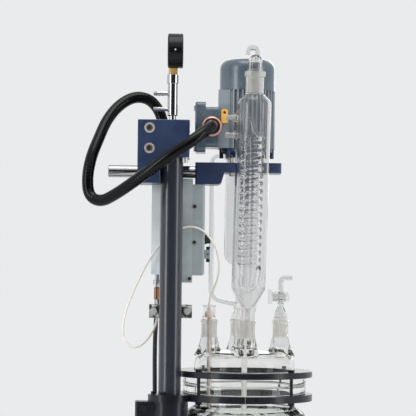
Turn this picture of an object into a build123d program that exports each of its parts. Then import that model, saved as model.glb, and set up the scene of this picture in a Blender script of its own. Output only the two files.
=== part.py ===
from build123d import *
import math
import os

os.makedirs("parts", exist_ok=True)

# Main axes and levels; the origin is the middle of the base, on the floor
axis_x = 70.0
post_x = axis_x - 133.0
post_y = -60.0
ring_top = 760.0

# Clearances
gap = 0.3
running = 0.05
seat = 0.1

# Base
base_length = 480.0
base_depth = 400.0
base_thick = 14.0
base_corner = 30.0
foot_radius = 22.0
foot_height = 16.0
foot_inset = 48.0
base_top = foot_height + base_thick

# Post, its socket and the cross rod
post_radius = 20.0
post_wall = 3.0
socket_flange_radius = 60.0
socket_flange_thick = 12.0
socket_hub_radius = 33.0
socket_height = 68.0
socket_bolt_circle = 47.0
rod_radius = 11.0
rod_level = ring_top + 355.0
rod_left = axis_x - 248.6
rod_right = axis_x - 45.5

# Cast block on the post
block_left = post_x - 60.4
block_step = post_x - 20.4
block_right = post_x + 31.0
block_front = -90.0
block_back = 22.0
block_low = ring_top + 331.0
block_mid = ring_top + 377.0
block_top = ring_top + 443.0
block_roof = 13.0
slit = 3.0
pinch_inset = 20.7
pinch_upper = ring_top + 428.4
pinch_lower = ring_top + 392.6
pinch_head_radius = 9.4
pinch_head_height = 9.0
pinch_shank_radius = 5.0
pinch_sink = 10.0

# Motor arm
arm_left = axis_x - 92.0
arm_right = axis_x + 62.0
arm_front = -33.0
arm_back = 40.0
arm_top = ring_top + 371.0
arm_thick = 18.0
arm_clamp_low = ring_top + 332.0
arm_clamp_width = 41.0
arm_hole_radius = 24.0
standoff_offset = 25.0
standoff_gap = 9.0
m6_radius = 3.0
m5_radius = 2.5

# Motor
bell_height = 17.0
bell_foot_radius = 38.0
bell_radius = 46.0
motor_height = 104.0
motor_core_radius = 44.0
motor_radius = 50.0
fin_count = 36
fin_width = 2.4
pad_left = axis_x - 52.0
pad_right = axis_x - 20.0
pad_half_depth = 38.0
motor_shaft_radius = 6.0
fan_cover_height = 57.0
fan_cover_radius = 49.5
fan_cover_wall = 2.0
fan_cover_round = 18.0
fan_radius = 41.0
fan_blades = 8
bell_low = arm_top + standoff_gap
motor_low = bell_low + bell_height
motor_top = motor_low + motor_height

# Terminal box
box_body_width = 22.0
box_body_front = -46.0
box_body_back = 36.0
box_body_low = ring_top + 398.0
box_body_top = ring_top + 470.0
box_lid_thick = 19.0
box_lid_overhang = 9.0
gland_x = axis_x - 63.0
gland_level = ring_top + 434.0
gland_radius = 17.5
gland_length = 16.0
conduit_radius = 10.5

# Stirrer
stirrer_radius = 5.0
stirrer_low = ring_top - 258.0
coupling_radius = 16.0
coupling_low = ring_top + 300.0
coupling_high = ring_top + 348.0
coupling_split = ring_top + 324.0
impeller_radius = 46.0
impeller_hub_radius = 10.0
impeller_level = ring_top - 240.0
blade_height = 22.0
blade_thick = 3.0

# Glass vessel and lid
glass_wall = 5.0
vessel_radius = 90.0
flange_radius = 110.5
flange_thick = 14.0
clamp_ring_radius = 122.0
clamp_ring_thick = 11.0
gasket_thick = 2.0
jacket_radius = 110.0
jacket_wall = 4.0
vessel_depth = 260.0
jacket_depth = 296.0
drain_radius = 19.0
drain_bore = 12.0
drain_level = ring_top - 345.0
port_radius = 8.0
port_bore = 5.5
port_reach = 150.0
port_collar = 6.0
port_collar_radius = 11.0
port_upper = ring_top - 95.0
port_lower = ring_top - 200.0
dome_rise = 38.0
neck_radius = 14.0
neck_bore = 11.6
neck_rim_radius = 15.2
neck_flare = 13.0
neck_level = ring_top + 90.0
side_neck_offset = 64.0
centre_neck_radius = 18.0
centre_neck_bore = 15.0
centre_neck_level = ring_top + 110.0
bolt_circle = 115.0
support_thick = 12.0

# Leaning front and rear necks: their drift sideways and outward for each unit of height
front_neck_x = axis_x + 3.0
front_neck_y = -66.0
front_lean_x = 0.0204
front_lean_y = -0.058
rear_neck_x = axis_x - 11.0
rear_neck_y = 66.0
rear_lean_y = 0.058

# Condenser, in heights above the rim of its neck
joint_length = 30.0
collar_radius = 12.8
condenser_radius = 30.0
condenser_wall = 2.5
condenser_taper = 26.0
condenser_low = 57.0
condenser_high = 388.0
condenser_shoulder = 13.0
top_joint_length = 39.0
condenser_neck = condenser_high + condenser_shoulder
condenser_joint = condenser_neck + top_joint_length
top_joint_radius = 16.0
top_rim_radius = 18.4
barb_upper = 358.0
barb_lower = 327.0
barb_reach = 49.0
barb_radius = 4.6
coil_radius = 15.2
coil_tube = 4.6
coil_pitch = 13.4
coil_turns = 16
coil_low = 109.0

# Dropping funnel, in heights above the rim of its neck
funnel_radius = 27.0
funnel_low = 104.0
funnel_high = 290.0
funnel_top = 345.0
funnel_arm_offset = 50.6
funnel_arm_radius = 4.5
funnel_valve = 66.0

# Valves
barrel_radius = 9.5
plug_radius = 6.0
valve_half = 15.0

# Gauge and manifold
gauge_level = ring_top + 567.0
gauge_radius = 31.0
gauge_back = post_x - 9.5
gauge_depth = 27.0
gauge_wall = 2.0
dial_thick = 1.2
dial_setback = 8.0
lens_thick = 2.0
pointer_length = 22.0
manifold_radius = 9.0
manifold_collar_radius = 10.5
manifold_low = ring_top + 451.0
manifold_collar = ring_top + 508.4
manifold_high = ring_top + 525.0
hose_barb_length = 25.0
hose_barb_upper = ring_top + 491.0
hose_barb_lower = ring_top + 463.0

# Control box
control_front = -30.0
control_back = 92.0
control_left = axis_x - 152.0
control_mid = axis_x - 96.0
control_right = axis_x - 74.0
control_low = ring_top + 156.0
control_top = ring_top + 342.0
sink_left = axis_x - 169.0
sink_low = ring_top + 170.0
sink_top = ring_top + 330.5
cover_low = ring_top + 169.0
cover_top = ring_top + 331.5
knob_level = ring_top + 234.0
switch_level = ring_top + 207.0
panel_y = 10.0
cable_gland_x = axis_x - 159.0
sensor_gland_y = -8.0
power_gland_y = 24.0
cable_gland_length = 21.0
bar_half = 38.0
bar_low = ring_top + 93.0
bar_height = 24.0
bar_back = -16.0

# Cords
sensor_radius = 2.0
cord_radius = 4.0
coil_centre = (-172.0, 128.0)
coil_outer = 53.0
coil_inner = 35.0
coil_height = 17.0


def leaning(x, y, z, lean_x=0.0, lean_y=0.0):
    """A plane square to an axis that drifts by lean_x and lean_y for each unit of height."""
    return Plane(origin=(x, y, z), x_dir=(1, 0, -lean_x), z_dir=(lean_x, lean_y, 1))


def turn(plane, corners, mode=Mode.ADD):
    """Turns an outline of (radius, height, rounding) corners about the plane's z axis."""
    side = Plane(plane.origin, x_dir=plane.x_dir, z_dir=-plane.y_dir)
    places = [corner[:2] for corner in corners]
    roundings = [corner[2] if len(corner) > 2 else 0 for corner in corners]
    with BuildSketch(side) as profile:
        with BuildLine():
            FilletPolyline(*places, radius=roundings, close=True)
        make_face()
    revolve(profile.sketch, axis=Axis(plane.origin, plane.z_dir), mode=mode)


def rod(plane, radius, length, mode=Mode.ADD):
    """A round bar, or a bore, that starts on the plane and runs along its z axis."""
    with BuildSketch(plane) as section:
        Circle(radius)
    extrude(section.sketch, amount=length, mode=mode)


def block(low, high, mode=Mode.ADD):
    """A square-edged block between its lowest and highest corners."""
    middle = [(a + b) / 2 for a, b in zip(low, high)]
    size = [b - a for a, b in zip(low, high)]
    with BuildSketch(Plane.XY.offset(low[2])) as floor_plan:
        with Locations((middle[0], middle[1])):
            Rectangle(size[0], size[1])
    extrude(floor_plan.sketch, amount=size[2], mode=mode)


def screw(plane, head_radius, head_height, shank_radius, length, hexagon=False):
    """A screw whose head sits on the plane and whose shank runs down from it."""
    with BuildSketch(plane) as head:
        if hexagon:
            RegularPolygon(head_radius, 6)
        else:
            Circle(head_radius)
    extrude(head.sketch, amount=head_height)
    rod(plane, shank_radius, -length)


def pipe(points, radii, radius, mode=Mode.ADD):
    """A round bar along straight runs joined by tangent arcs, one radius for each corner."""
    with BuildLine() as route:
        FilletPolyline(*points, radius=radii)
    with BuildSketch(Plane(route.line @ 0, z_dir=route.line % 0)) as section:
        Circle(radius)
    sweep(section.sketch, path=route.line, mode=mode)


def corner_radii(points):
    """The largest arc at each corner of a cord's route that its two runs allow."""
    places = [Vector(*point) for point in points]
    radii = []
    for before, here, after in zip(places, places[1:], places[2:]):
        first = here - before
        second = after - here
        half_turn = math.radians(first.get_angle(second)) / 2
        radii.append(0.45 * min(first.length, second.length) / math.tan(half_turn))
    return radii


def placed(plane, points):
    """Points given along a plane's own axes, in the part's frame."""
    return [plane.from_local_coords(Vector(*point)) for point in points]


upright = leaning(axis_x, 0, ring_top)
post_axis = leaning(post_x, post_y, 0)

# Base plate, a thick steel plate with rounded corners and a broken top edge
plate_holes = PolarLocations(socket_bolt_circle, 4, start_angle=45).local_locations
socket_bolts = [(post_x + hole.position.X, post_y + hole.position.Y) for hole in plate_holes]
foot_span_x = base_length - 2 * foot_inset
foot_span_y = base_depth - 2 * foot_inset
with BuildPart() as base_plate:
    with BuildSketch(Plane.XY.offset(foot_height)):
        RectangleRounded(base_length, base_depth, base_corner)
    extrude(amount=base_thick)
    chamfer(base_plate.faces().sort_by(Axis.Z)[-1].edges(), 2)
    with BuildSketch(Plane.XY.offset(base_top)):
        with Locations(*socket_bolts):
            Circle(4 + seat)
    extrude(amount=-10, mode=Mode.SUBTRACT)
base_plate.part.label = "base_plate"
export_step(base_plate.part, "parts/base_plate.step")

# Rubber feet under the corners
with BuildPart() as base_feet:
    with BuildSketch(Plane.XY.offset(foot_height)):
        with GridLocations(foot_span_x, foot_span_y, 2, 2):
            Circle(foot_radius)
    extrude(amount=-foot_height, taper=8)
base_feet.part.label = "base_feet"
export_step(base_feet.part, "parts/base_feet.step")

# Post socket, a flanged hub bolted to the plate
with BuildPart() as post_socket:
    turn(
        leaning(post_x, post_y, base_top),
        [
            (post_radius + seat, 0),
            (socket_flange_radius, 0),
            (socket_flange_radius, socket_flange_thick, 2),
            (socket_hub_radius, socket_flange_thick, 6),
            (socket_hub_radius, socket_height, 2),
            (post_radius + seat, socket_height),
        ],
    )
    with BuildSketch(Plane.XY.offset(base_top)):
        with Locations(*socket_bolts):
            Circle(4 + seat)
    extrude(amount=socket_flange_thick, mode=Mode.SUBTRACT)
post_socket.part.label = "post_socket"
export_step(post_socket.part, "parts/post_socket.step")

# Post, a tube from the base plate up into the cast block
post_top = block_top - block_roof - gap
with BuildPart() as post:
    with BuildSketch(Plane.XY.offset(base_top)):
        with Locations((post_x, post_y)):
            Circle(post_radius)
            Circle(post_radius - post_wall, mode=Mode.SUBTRACT)
    extrude(amount=post_top - base_top)
post.part.label = "post"
export_step(post.part, "parts/post.step")

# Cast block: its right part grips the post, its left part hangs down to grip the rod
pinch_x = block_left + pinch_inset
rod_pinch_level = block_low + 6.5
with BuildPart() as post_block:
    with BuildSketch(Plane.XZ.offset(-block_back)) as block_face:
        with BuildLine():
            Polyline(
                (block_left, block_low),
                (block_step, block_low),
                (block_step, block_mid),
                (block_right, block_mid),
                (block_right, block_top),
                (block_left, block_top),
                close=True,
            )
        make_face()
        fillet(block_face.vertices(), 2.5)
    extrude(amount=block_back - block_front)
    chamfer(post_block.faces().sort_by(Axis.Y)[0].edges(), 1)
    rod(leaning(post_x, post_y, block_low), post_radius + seat, post_top + gap - block_low, Mode.SUBTRACT)
    rod(
        Plane((block_left, 0, rod_level), z_dir=(1, 0, 0)),
        rod_radius + seat,
        block_step - block_left,
        Mode.SUBTRACT,
    )
    block(
        (block_left, post_y - slit / 2, block_low),
        (post_x, post_y + slit / 2, block_top),
        Mode.SUBTRACT,
    )
    block((block_left, -slit / 2, block_low), (block_step, slit / 2, rod_level), Mode.SUBTRACT)
    for pinch_level in (pinch_upper, pinch_lower):
        pinch_plane = Plane((pinch_x, block_front, pinch_level), z_dir=(0, 1, 0))
        rod(pinch_plane, pinch_head_radius + gap, pinch_sink, Mode.SUBTRACT)
        rod(pinch_plane, pinch_shank_radius + seat, 62, Mode.SUBTRACT)
    rod(
        Plane((pinch_x, block_back, rod_pinch_level), z_dir=(0, -1, 0)),
        m5_radius + seat,
        45,
        Mode.SUBTRACT,
    )
    rod(
        Plane((block_right - 8, post_y - 14, block_mid), z_dir=(0, 0, 1)),
        m6_radius + seat,
        14,
        Mode.SUBTRACT,
    )
post_block.part.label = "post_block"
export_step(post_block.part, "parts/post_block.step")

# Cross rod, held by the block and by the motor arm; a turned groove marks its free left end
rod_groove = block_left - 2.5
with BuildPart() as cross_rod:
    rod(Plane((rod_left, 0, rod_level), z_dir=(1, 0, 0)), rod_radius, rod_right - rod_left)
    chamfer(cross_rod.edges().filter_by(GeomType.CIRCLE), 1)
    with BuildSketch(Plane((rod_groove, 0, rod_level), z_dir=(1, 0, 0))) as groove:
        Circle(rod_radius + 1)
        Circle(rod_radius - 0.5, mode=Mode.SUBTRACT)
    extrude(groove.sketch, amount=1.5, mode=Mode.SUBTRACT)
cross_rod.part.label = "cross_rod"
export_step(cross_rod.part, "parts/cross_rod.step")

# Motor arm: a clamp on the rod's right end, and a plate that carries the motor
arm_low = arm_top - arm_thick
arm_clamp_right = arm_left + arm_clamp_width
arm_pinch_level = arm_clamp_low + 5.6
arm_pinch_xs = (arm_left + 7.5, arm_left + 24.5)
standoffs = [
    (axis_x + sign_x * standoff_offset, sign_y * standoff_offset)
    for sign_x in (-1, 1)
    for sign_y in (-1, 1)
]
with BuildPart() as motor_arm:
    with BuildSketch(Plane.XZ.offset(-arm_back)) as arm_face:
        with BuildLine():
            Polyline(
                (arm_left, arm_clamp_low),
                (arm_clamp_right, arm_clamp_low),
                (arm_clamp_right + 6, arm_clamp_low + 3),
                (arm_clamp_right + 11, arm_low),
                (arm_right, arm_low),
                (arm_right, arm_top),
                (arm_left, arm_top),
                close=True,
            )
        make_face()
    extrude(amount=arm_back - arm_front)
    fillet(motor_arm.edges().filter_by(Axis.Z), 4)
    rod(
        Plane((arm_left, 0, rod_level), z_dir=(1, 0, 0)),
        rod_radius + seat,
        rod_right + gap - arm_left,
        Mode.SUBTRACT,
    )
    block((arm_left, -slit / 2, arm_clamp_low), (rod_right + gap, slit / 2, rod_level), Mode.SUBTRACT)
    rod(leaning(axis_x, 0, arm_low), arm_hole_radius, arm_thick, Mode.SUBTRACT)
    for place in standoffs:
        rod(leaning(*place, arm_low), m6_radius + seat, arm_thick, Mode.SUBTRACT)
    for pinch in arm_pinch_xs:
        rod(Plane((pinch, arm_back, arm_pinch_level), z_dir=(0, -1, 0)), m5_radius + seat, 52, Mode.SUBTRACT)
motor_arm.part.label = "motor_arm"
export_step(motor_arm.part, "parts/motor_arm.step")

# Screws that clamp the castings and hold the socket and the motor
with BuildPart() as bracket_screws:
    for pinch_level in (pinch_upper, pinch_lower):
        seat_plane = Plane((pinch_x, block_front + pinch_sink, pinch_level), z_dir=(0, -1, 0))
        screw(seat_plane, pinch_head_radius, pinch_head_height, pinch_shank_radius, 50)
        with BuildSketch(seat_plane.offset(pinch_head_height)) as socket:
            RegularPolygon(4.6, 6)
        extrude(socket.sketch, amount=-5, mode=Mode.SUBTRACT)
    screw(Plane((pinch_x, block_back, rod_pinch_level), z_dir=(0, 1, 0)), 4.2, 5, m5_radius, 44)
    screw(Plane((block_right - 8, post_y - 14, block_mid), z_dir=(0, 0, -1)), 5, 9, m6_radius, 13)
    for pinch in arm_pinch_xs:
        screw(Plane((pinch, arm_back, arm_pinch_level), z_dir=(0, 1, 0)), 4.2, 3, m5_radius, 50)
    for place in standoffs:
        screw(Plane((*place, arm_low), z_dir=(0, 0, -1)), 5.6, 4, m6_radius, arm_thick + 6, hexagon=True)
        rod(leaning(*place, arm_top), 5.6, standoff_gap)
        rod(leaning(*place, arm_top), m6_radius, standoff_gap + 7)
    for place in socket_bolts:
        screw(leaning(*place, base_top + socket_flange_thick), 6.5, 8, 4, socket_flange_thick + 9)
bracket_screws.part.label = "bracket_screws"
export_step(bracket_screws.part, "parts/bracket_screws.step")

# Lower end bell of the motor, with the shaft's bearing bore and the through-bolt lugs
with BuildPart() as motor_end_bell:
    turn(
        leaning(axis_x, 0, bell_low),
        [
            (motor_shaft_radius + running, 0),
            (bell_foot_radius, 0, 2),
            (bell_foot_radius, 6, 3),
            (bell_radius, 11, 2),
            (bell_radius, bell_height),
            (motor_shaft_radius + running, bell_height),
        ],
    )
    with BuildSketch(Plane.XY.offset(bell_low)):
        with Locations((axis_x, 0)):
            with PolarLocations(bell_radius - 0.5, 8):
                Circle(3.6)
    extrude(amount=bell_height)
    for place in standoffs:
        rod(leaning(*place, bell_low), m6_radius + seat, 8, Mode.SUBTRACT)
motor_end_bell.part.label = "motor_end_bell"
export_step(motor_end_bell.part, "parts/motor_end_bell.step")

# Motor body, an extruded case with cooling fins and a flat pad for the terminal box
with BuildPart() as motor_body:
    with BuildSketch(Plane.XY.offset(motor_low)):
        with Locations((axis_x, 0)):
            Circle(motor_core_radius)
            with PolarLocations((motor_core_radius + motor_radius - 1) / 2, fin_count):
                Rectangle(motor_radius - motor_core_radius + 1, fin_width)
        with Locations(((pad_left + pad_right) / 2, 0)):
            Rectangle(pad_right - pad_left, 2 * pad_half_depth)
        with Locations((axis_x, 0)):
            Circle(motor_shaft_radius + gap, mode=Mode.SUBTRACT)
    extrude(amount=motor_height)
motor_body.part.label = "motor_body"
export_step(motor_body.part, "parts/motor_body.step")

# Fan cover, a drawn steel cap with air slots in its crown
with BuildPart() as fan_cover:
    inner = fan_cover_radius - fan_cover_wall
    turn(
        leaning(axis_x, 0, motor_top),
        [
            (0, 0),
            (fan_cover_radius, 0),
            (fan_cover_radius, fan_cover_height - 1, fan_cover_round),
            (0, fan_cover_height + 1.5),
        ],
    )
    turn(
        leaning(axis_x, 0, motor_top),
        [
            (0, 0),
            (inner, 0),
            (inner, fan_cover_height - 1 - fan_cover_wall, fan_cover_round - fan_cover_wall),
            (0, fan_cover_height + 1.5 - fan_cover_wall),
        ],
        Mode.SUBTRACT,
    )
    with BuildSketch(Plane.XY.offset(motor_top + fan_cover_height - 12)):
        with Locations((axis_x, 0)):
            with PolarLocations(21, 12):
                SlotOverall(17, 4)
    extrude(amount=20, mode=Mode.SUBTRACT)
fan_cover.part.label = "fan_cover"
export_step(fan_cover.part, "parts/fan_cover.step")

# Motor shaft, from the fan down to the coupling
with BuildPart() as motor_shaft:
    rod(leaning(axis_x, 0, coupling_split + 1), motor_shaft_radius, motor_top + 24 - coupling_split)
motor_shaft.part.label = "motor_shaft"
export_step(motor_shaft.part, "parts/motor_shaft.step")

# Cooling fan inside the cover
fan_low = motor_top + 8.0
with BuildPart() as cooling_fan:
    with BuildSketch(Plane.XY.offset(fan_low)):
        with Locations((axis_x, 0)):
            Circle(12)
            with PolarLocations((fan_radius + 10) / 2, fan_blades):
                Rectangle(fan_radius - 10, 2)
            Circle(motor_shaft_radius + running, mode=Mode.SUBTRACT)
    extrude(amount=20)
cooling_fan.part.label = "cooling_fan"
export_step(cooling_fan.part, "parts/cooling_fan.step")

# Terminal box on the pad, with a thick lid facing left
box_left = pad_left - box_body_width
box_depth = box_body_back - box_body_front
box_middle_y = (box_body_back + box_body_front) / 2
box_height = box_body_top - box_body_low
box_middle_z = (box_body_top + box_body_low) / 2
with BuildPart() as terminal_box:
    with BuildSketch(Plane((pad_left, box_middle_y, box_middle_z), x_dir=(0, -1, 0), z_dir=(-1, 0, 0))):
        RectangleRounded(box_depth, box_height, 7)
    extrude(amount=box_body_width)
terminal_box.part.label = "terminal_box"
export_step(terminal_box.part, "parts/terminal_box.step")

lid_plane = Plane((box_left, box_middle_y, box_middle_z), x_dir=(0, -1, 0), z_dir=(-1, 0, 0))
lid_depth = box_depth
lid_height = box_height + 2 * box_lid_overhang
with BuildPart() as terminal_lid:
    with BuildSketch(lid_plane):
        RectangleRounded(lid_depth, lid_height, 9)
    extrude(amount=box_lid_thick)
    fillet(terminal_lid.faces().sort_by(Axis.X)[0].edges(), 3.5)
terminal_lid.part.label = "terminal_lid"
export_step(terminal_lid.part, "parts/terminal_lid.step")

# Gland on the front of the terminal box, where the conduit starts
with BuildPart() as conduit_gland:
    turn(
        Plane((gland_x, box_body_front, gland_level), x_dir=(1, 0, 0), z_dir=(0, -1, 0)),
        [
            (0, 0),
            (gland_radius, 0),
            (gland_radius, gland_length - 4, 2),
            (13.5, gland_length, 1),
            (0, gland_length),
        ],
    )
conduit_gland.part.label = "conduit_gland"
export_step(conduit_gland.part, "parts/conduit_gland.step")

# Earth lug on the pad
lug_x = axis_x - 40.5
lug_low = ring_top + 441.0
with BuildPart() as earth_lug:
    with BuildSketch(Plane.XZ.offset(pad_half_depth)):
        with Locations((lug_x, lug_low + 12.5)):
            RectangleRounded(12, 25, 3)
        with Locations((lug_x, lug_low + 19)):
            Circle(2.6, mode=Mode.SUBTRACT)
    extrude(amount=2.5)
earth_lug.part.label = "earth_lug"
export_step(earth_lug.part, "parts/earth_lug.step")

# Coupling between the motor shaft and the stirrer
with BuildPart() as shaft_coupling:
    turn(
        leaning(axis_x, 0, coupling_low),
        [
            (0, 0),
            (coupling_radius, 0, 1.5),
            (coupling_radius, 20),
            (coupling_radius - 2.5, 20),
            (coupling_radius - 2.5, 28),
            (coupling_radius, 28),
            (coupling_radius, coupling_high - coupling_low, 1.5),
            (0, coupling_high - coupling_low),
        ],
    )
    rod(leaning(axis_x, 0, coupling_split), motor_shaft_radius + running, 30, Mode.SUBTRACT)
    stirrer_grip = coupling_split - coupling_low
    rod(leaning(axis_x, 0, coupling_low), stirrer_radius + running, stirrer_grip, Mode.SUBTRACT)
shaft_coupling.part.label = "shaft_coupling"
export_step(shaft_coupling.part, "parts/shaft_coupling.step")

# Stirrer shaft and its pitched four-blade impeller
impeller_half = 15.0
with BuildPart() as stirrer_shaft:
    rod(leaning(axis_x, 0, stirrer_low), stirrer_radius, coupling_split - 1 - stirrer_low)
stirrer_shaft.part.label = "stirrer_shaft"
export_step(stirrer_shaft.part, "parts/stirrer_shaft.step")

with BuildPart() as stirrer_impeller:
    rod(leaning(axis_x, 0, impeller_level - impeller_half), impeller_hub_radius, 2 * impeller_half)
    with Locations((axis_x, 0, impeller_level)):
        with PolarLocations((impeller_radius + impeller_hub_radius) / 2 - 1, 4):
            Box(impeller_radius - impeller_hub_radius + 2, blade_thick, blade_height, rotation=(45, 0, 0))
    rod(
        leaning(axis_x, 0, impeller_level - impeller_half),
        stirrer_radius + running,
        2 * impeller_half,
        Mode.SUBTRACT,
    )
stirrer_impeller.part.label = "stirrer_impeller"
export_step(stirrer_impeller.part, "parts/stirrer_impeller.step")

# Seal housing in the middle neck, where the stirrer passes through the lid
with BuildPart() as seal_housing:
    turn(
        leaning(axis_x, 0, centre_neck_level),
        [
            (stirrer_radius + running, -34),
            (centre_neck_bore - seat, -34, 1),
            (centre_neck_bore - seat, 0),
            (21, 0, 1),
            (21, 9, 1),
            (15, 9),
            (15, 27),
            (17.5, 27, 1),
            (17.5, 36, 1.5),
            (stirrer_radius + running, 36),
        ],
    )
seal_housing.part.label = "seal_housing"
export_step(seal_housing.part, "parts/seal_housing.step")

# Levels of the flanges that the clamp ring holds together, below the ring's top
lid_flange_top = -clamp_ring_thick
lid_flange_low = lid_flange_top - flange_thick
vessel_flange_top = lid_flange_low - gasket_thick
vessel_flange_low = vessel_flange_top - flange_thick
vessel_bottom = vessel_flange_top - vessel_depth
jacket_bottom = vessel_flange_top - jacket_depth

# Inner vessel: the flange, the chamber's wall and the drain neck
inner_radius = vessel_radius - glass_wall
jacket_inner = jacket_radius - jacket_wall
jacket_top = vessel_flange_low - 22
jacket_wide = vessel_flange_low - 40
drain_flange_radius = 32.0
drain_flange_thick = 8.0
with BuildPart() as reactor_vessel:
    turn(
        upright,
        [
            (0, vessel_flange_top),
            (flange_radius, vessel_flange_top, 1),
            (flange_radius, vessel_flange_low, 2),
            (vessel_radius, vessel_flange_low, 0.8),
            (vessel_radius, vessel_bottom - 5, vessel_radius - drain_radius - 4),
            (drain_radius, vessel_bottom - 9),
            (drain_radius, drain_level - ring_top + drain_flange_thick),
            (drain_flange_radius, drain_level - ring_top + drain_flange_thick, 1),
            (drain_flange_radius, drain_level - ring_top),
            (0, drain_level - ring_top),
        ],
    )
    turn(
        upright,
        [
            (0, vessel_flange_top),
            (inner_radius, vessel_flange_top),
            (inner_radius, vessel_bottom, inner_radius - drain_bore - 4),
            (drain_bore, vessel_bottom - 5),
            (drain_bore, drain_level - ring_top),
            (0, drain_level - ring_top),
        ],
        Mode.SUBTRACT,
    )
reactor_vessel.part.label = "reactor_vessel"
export_step(reactor_vessel.part, "parts/reactor_vessel.step")

# Outer jacket, sealed to the vessel at its shoulder and at the drain neck, with its two ports
with BuildPart() as vessel_jacket:
    turn(
        upright,
        [
            (vessel_radius, jacket_top),
            (vessel_radius + 5, jacket_top - 3, 4),
            (jacket_radius, jacket_top - 14, 12),
            (jacket_radius, jacket_bottom, jacket_radius - drain_radius - 4),
            (drain_radius, jacket_bottom - 4),
            (drain_radius, jacket_bottom + jacket_wall - 2),
            (jacket_inner, jacket_bottom + jacket_wall, jacket_inner - drain_radius - 4),
            (jacket_inner, jacket_wide - 2, 8),
            (vessel_radius, jacket_wide + 6),
        ],
    )
    for port_level in (port_upper, port_lower):
        port_plane = Plane((axis_x + jacket_inner - 4, 0, port_level), z_dir=(1, 0, 0))
        rod(port_plane, port_collar_radius, jacket_radius - jacket_inner + 4 + port_collar)
        rod(port_plane, port_radius, port_reach - jacket_inner + 4)
        rod(port_plane.offset(-4), port_bore, port_reach, Mode.SUBTRACT)
    turn(
        upright,
        [
            (0, jacket_wide - 4),
            (jacket_inner, jacket_wide - 4),
            (jacket_inner, port_lower - ring_top - 30),
            (0, port_lower - ring_top - 30),
        ],
        Mode.SUBTRACT,
    )
vessel_jacket.part.label = "vessel_jacket"
export_step(vessel_jacket.part, "parts/vessel_jacket.step")

# Domed lid with five necks; the front and rear necks lean outward
left_neck = leaning(axis_x - side_neck_offset, 0, neck_level)
right_neck = leaning(axis_x + side_neck_offset, 0, neck_level)
front_neck = leaning(front_neck_x, front_neck_y, neck_level, front_lean_x, front_lean_y)
rear_neck = leaning(rear_neck_x, rear_neck_y, neck_level, 0, rear_lean_y)
centre_neck = leaning(axis_x, 0, centre_neck_level)
neck_foot = neck_level - ring_top - dome_rise + 12


def neck_tube(plane, radius, rim_radius, foot, flare):
    """A neck with a beaded rim, that widens by the flare from its waist down into the dome."""
    turn(
        plane,
        [
            (0, 0),
            (rim_radius, 0, 1),
            (rim_radius, -4, 1),
            (radius, -6),
            (radius, 36 - foot, 24),
            (radius + 0.4 * flare, 14 - foot, 20),
            (radius + flare, -foot),
            (0, -foot),
        ],
    )


with BuildPart() as reactor_lid:
    turn(
        upright,
        [
            (0, lid_flange_low),
            (flange_radius, lid_flange_low, 1),
            (flange_radius, lid_flange_top),
            (vessel_radius, lid_flange_top),
            (vessel_radius, dome_rise - 7, 24),
            (0, dome_rise + 1),
        ],
    )
    for side_plane in (left_neck, right_neck, front_neck, rear_neck):
        neck_tube(side_plane, neck_radius, neck_rim_radius, neck_foot, neck_flare)
    neck_tube(centre_neck, centre_neck_radius, centre_neck_radius + 1.5, neck_foot + 20, neck_flare)
    turn(
        upright,
        [
            (0, lid_flange_low),
            (inner_radius, lid_flange_low),
            (inner_radius, dome_rise - 7 - glass_wall, 19),
            (0, dome_rise + 1 - glass_wall),
        ],
        Mode.SUBTRACT,
    )
    for side_plane in (left_neck, right_neck, front_neck, rear_neck):
        rod(side_plane, neck_bore, -neck_foot - 12, Mode.SUBTRACT)
    rod(centre_neck, centre_neck_bore, -neck_foot - 32, Mode.SUBTRACT)
reactor_lid.part.label = "reactor_lid"
export_step(reactor_lid.part, "parts/reactor_lid.step")

# Gasket between the lid and the vessel
with BuildPart() as lid_gasket:
    with BuildSketch(Plane.XY.offset(ring_top + vessel_flange_top)):
        with Locations((axis_x, 0)):
            Circle(flange_radius - 4)
            Circle(inner_radius + 3, mode=Mode.SUBTRACT)
    extrude(amount=gasket_thick)
lid_gasket.part.label = "lid_gasket"
export_step(lid_gasket.part, "parts/lid_gasket.step")

# Black clamp ring on the lid's flange
ring_bore = vessel_radius + 1.0
ring_bolt_holes = PolarLocations(bolt_circle, 4, start_angle=45).local_locations
ring_bolt_places = [(axis_x + hole.position.X, hole.position.Y) for hole in ring_bolt_holes]
with BuildPart() as clamp_ring:
    with BuildSketch(Plane.XY.offset(ring_top - clamp_ring_thick)):
        with Locations((axis_x, 0)):
            Circle(clamp_ring_radius)
            Circle(ring_bore, mode=Mode.SUBTRACT)
        with Locations(*ring_bolt_places):
            Circle(m6_radius + seat, mode=Mode.SUBTRACT)
    extrude(amount=clamp_ring_thick)
    chamfer(clamp_ring.edges().filter_by(GeomType.CIRCLE).filter_by(lambda e: e.radius > 100), 1)
clamp_ring.part.label = "clamp_ring"
export_step(clamp_ring.part, "parts/clamp_ring.step")

# Split support ring under the vessel's flange, with an ear round the post
support_top = ring_top + vessel_flange_low
support_low = support_top - support_thick
ear_radius = 38.0
arm_boss_radius = 33.0
ear_bolt_circle = 28.5
ear_fan = PolarLocations(ear_bolt_circle, 3, start_angle=120, angular_range=120, endpoint=True)
ear_holes = ear_fan.local_locations
ear_bolts = [(post_x + hole.position.X, post_y + hole.position.Y) for hole in ear_holes]
with BuildPart() as support_ring:
    with BuildSketch(Plane.XY.offset(support_low)):
        with Locations((axis_x, 0)):
            Circle(clamp_ring_radius)
        with Locations((post_x, post_y)):
            Circle(ear_radius)
        with Locations((axis_x, 0)):
            Circle(ring_bore, mode=Mode.SUBTRACT)
        with Locations((post_x, post_y)):
            Circle(post_radius + gap, mode=Mode.SUBTRACT)
        with Locations(*ring_bolt_places):
            Circle(m6_radius + seat, mode=Mode.SUBTRACT)
        with Locations(*ear_bolts):
            Circle(m5_radius + seat, mode=Mode.SUBTRACT)
    extrude(amount=support_thick)
    block(
        (axis_x - 0.5, -clamp_ring_radius, support_low),
        (axis_x + 0.5, clamp_ring_radius, support_top),
        Mode.SUBTRACT,
    )
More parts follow.
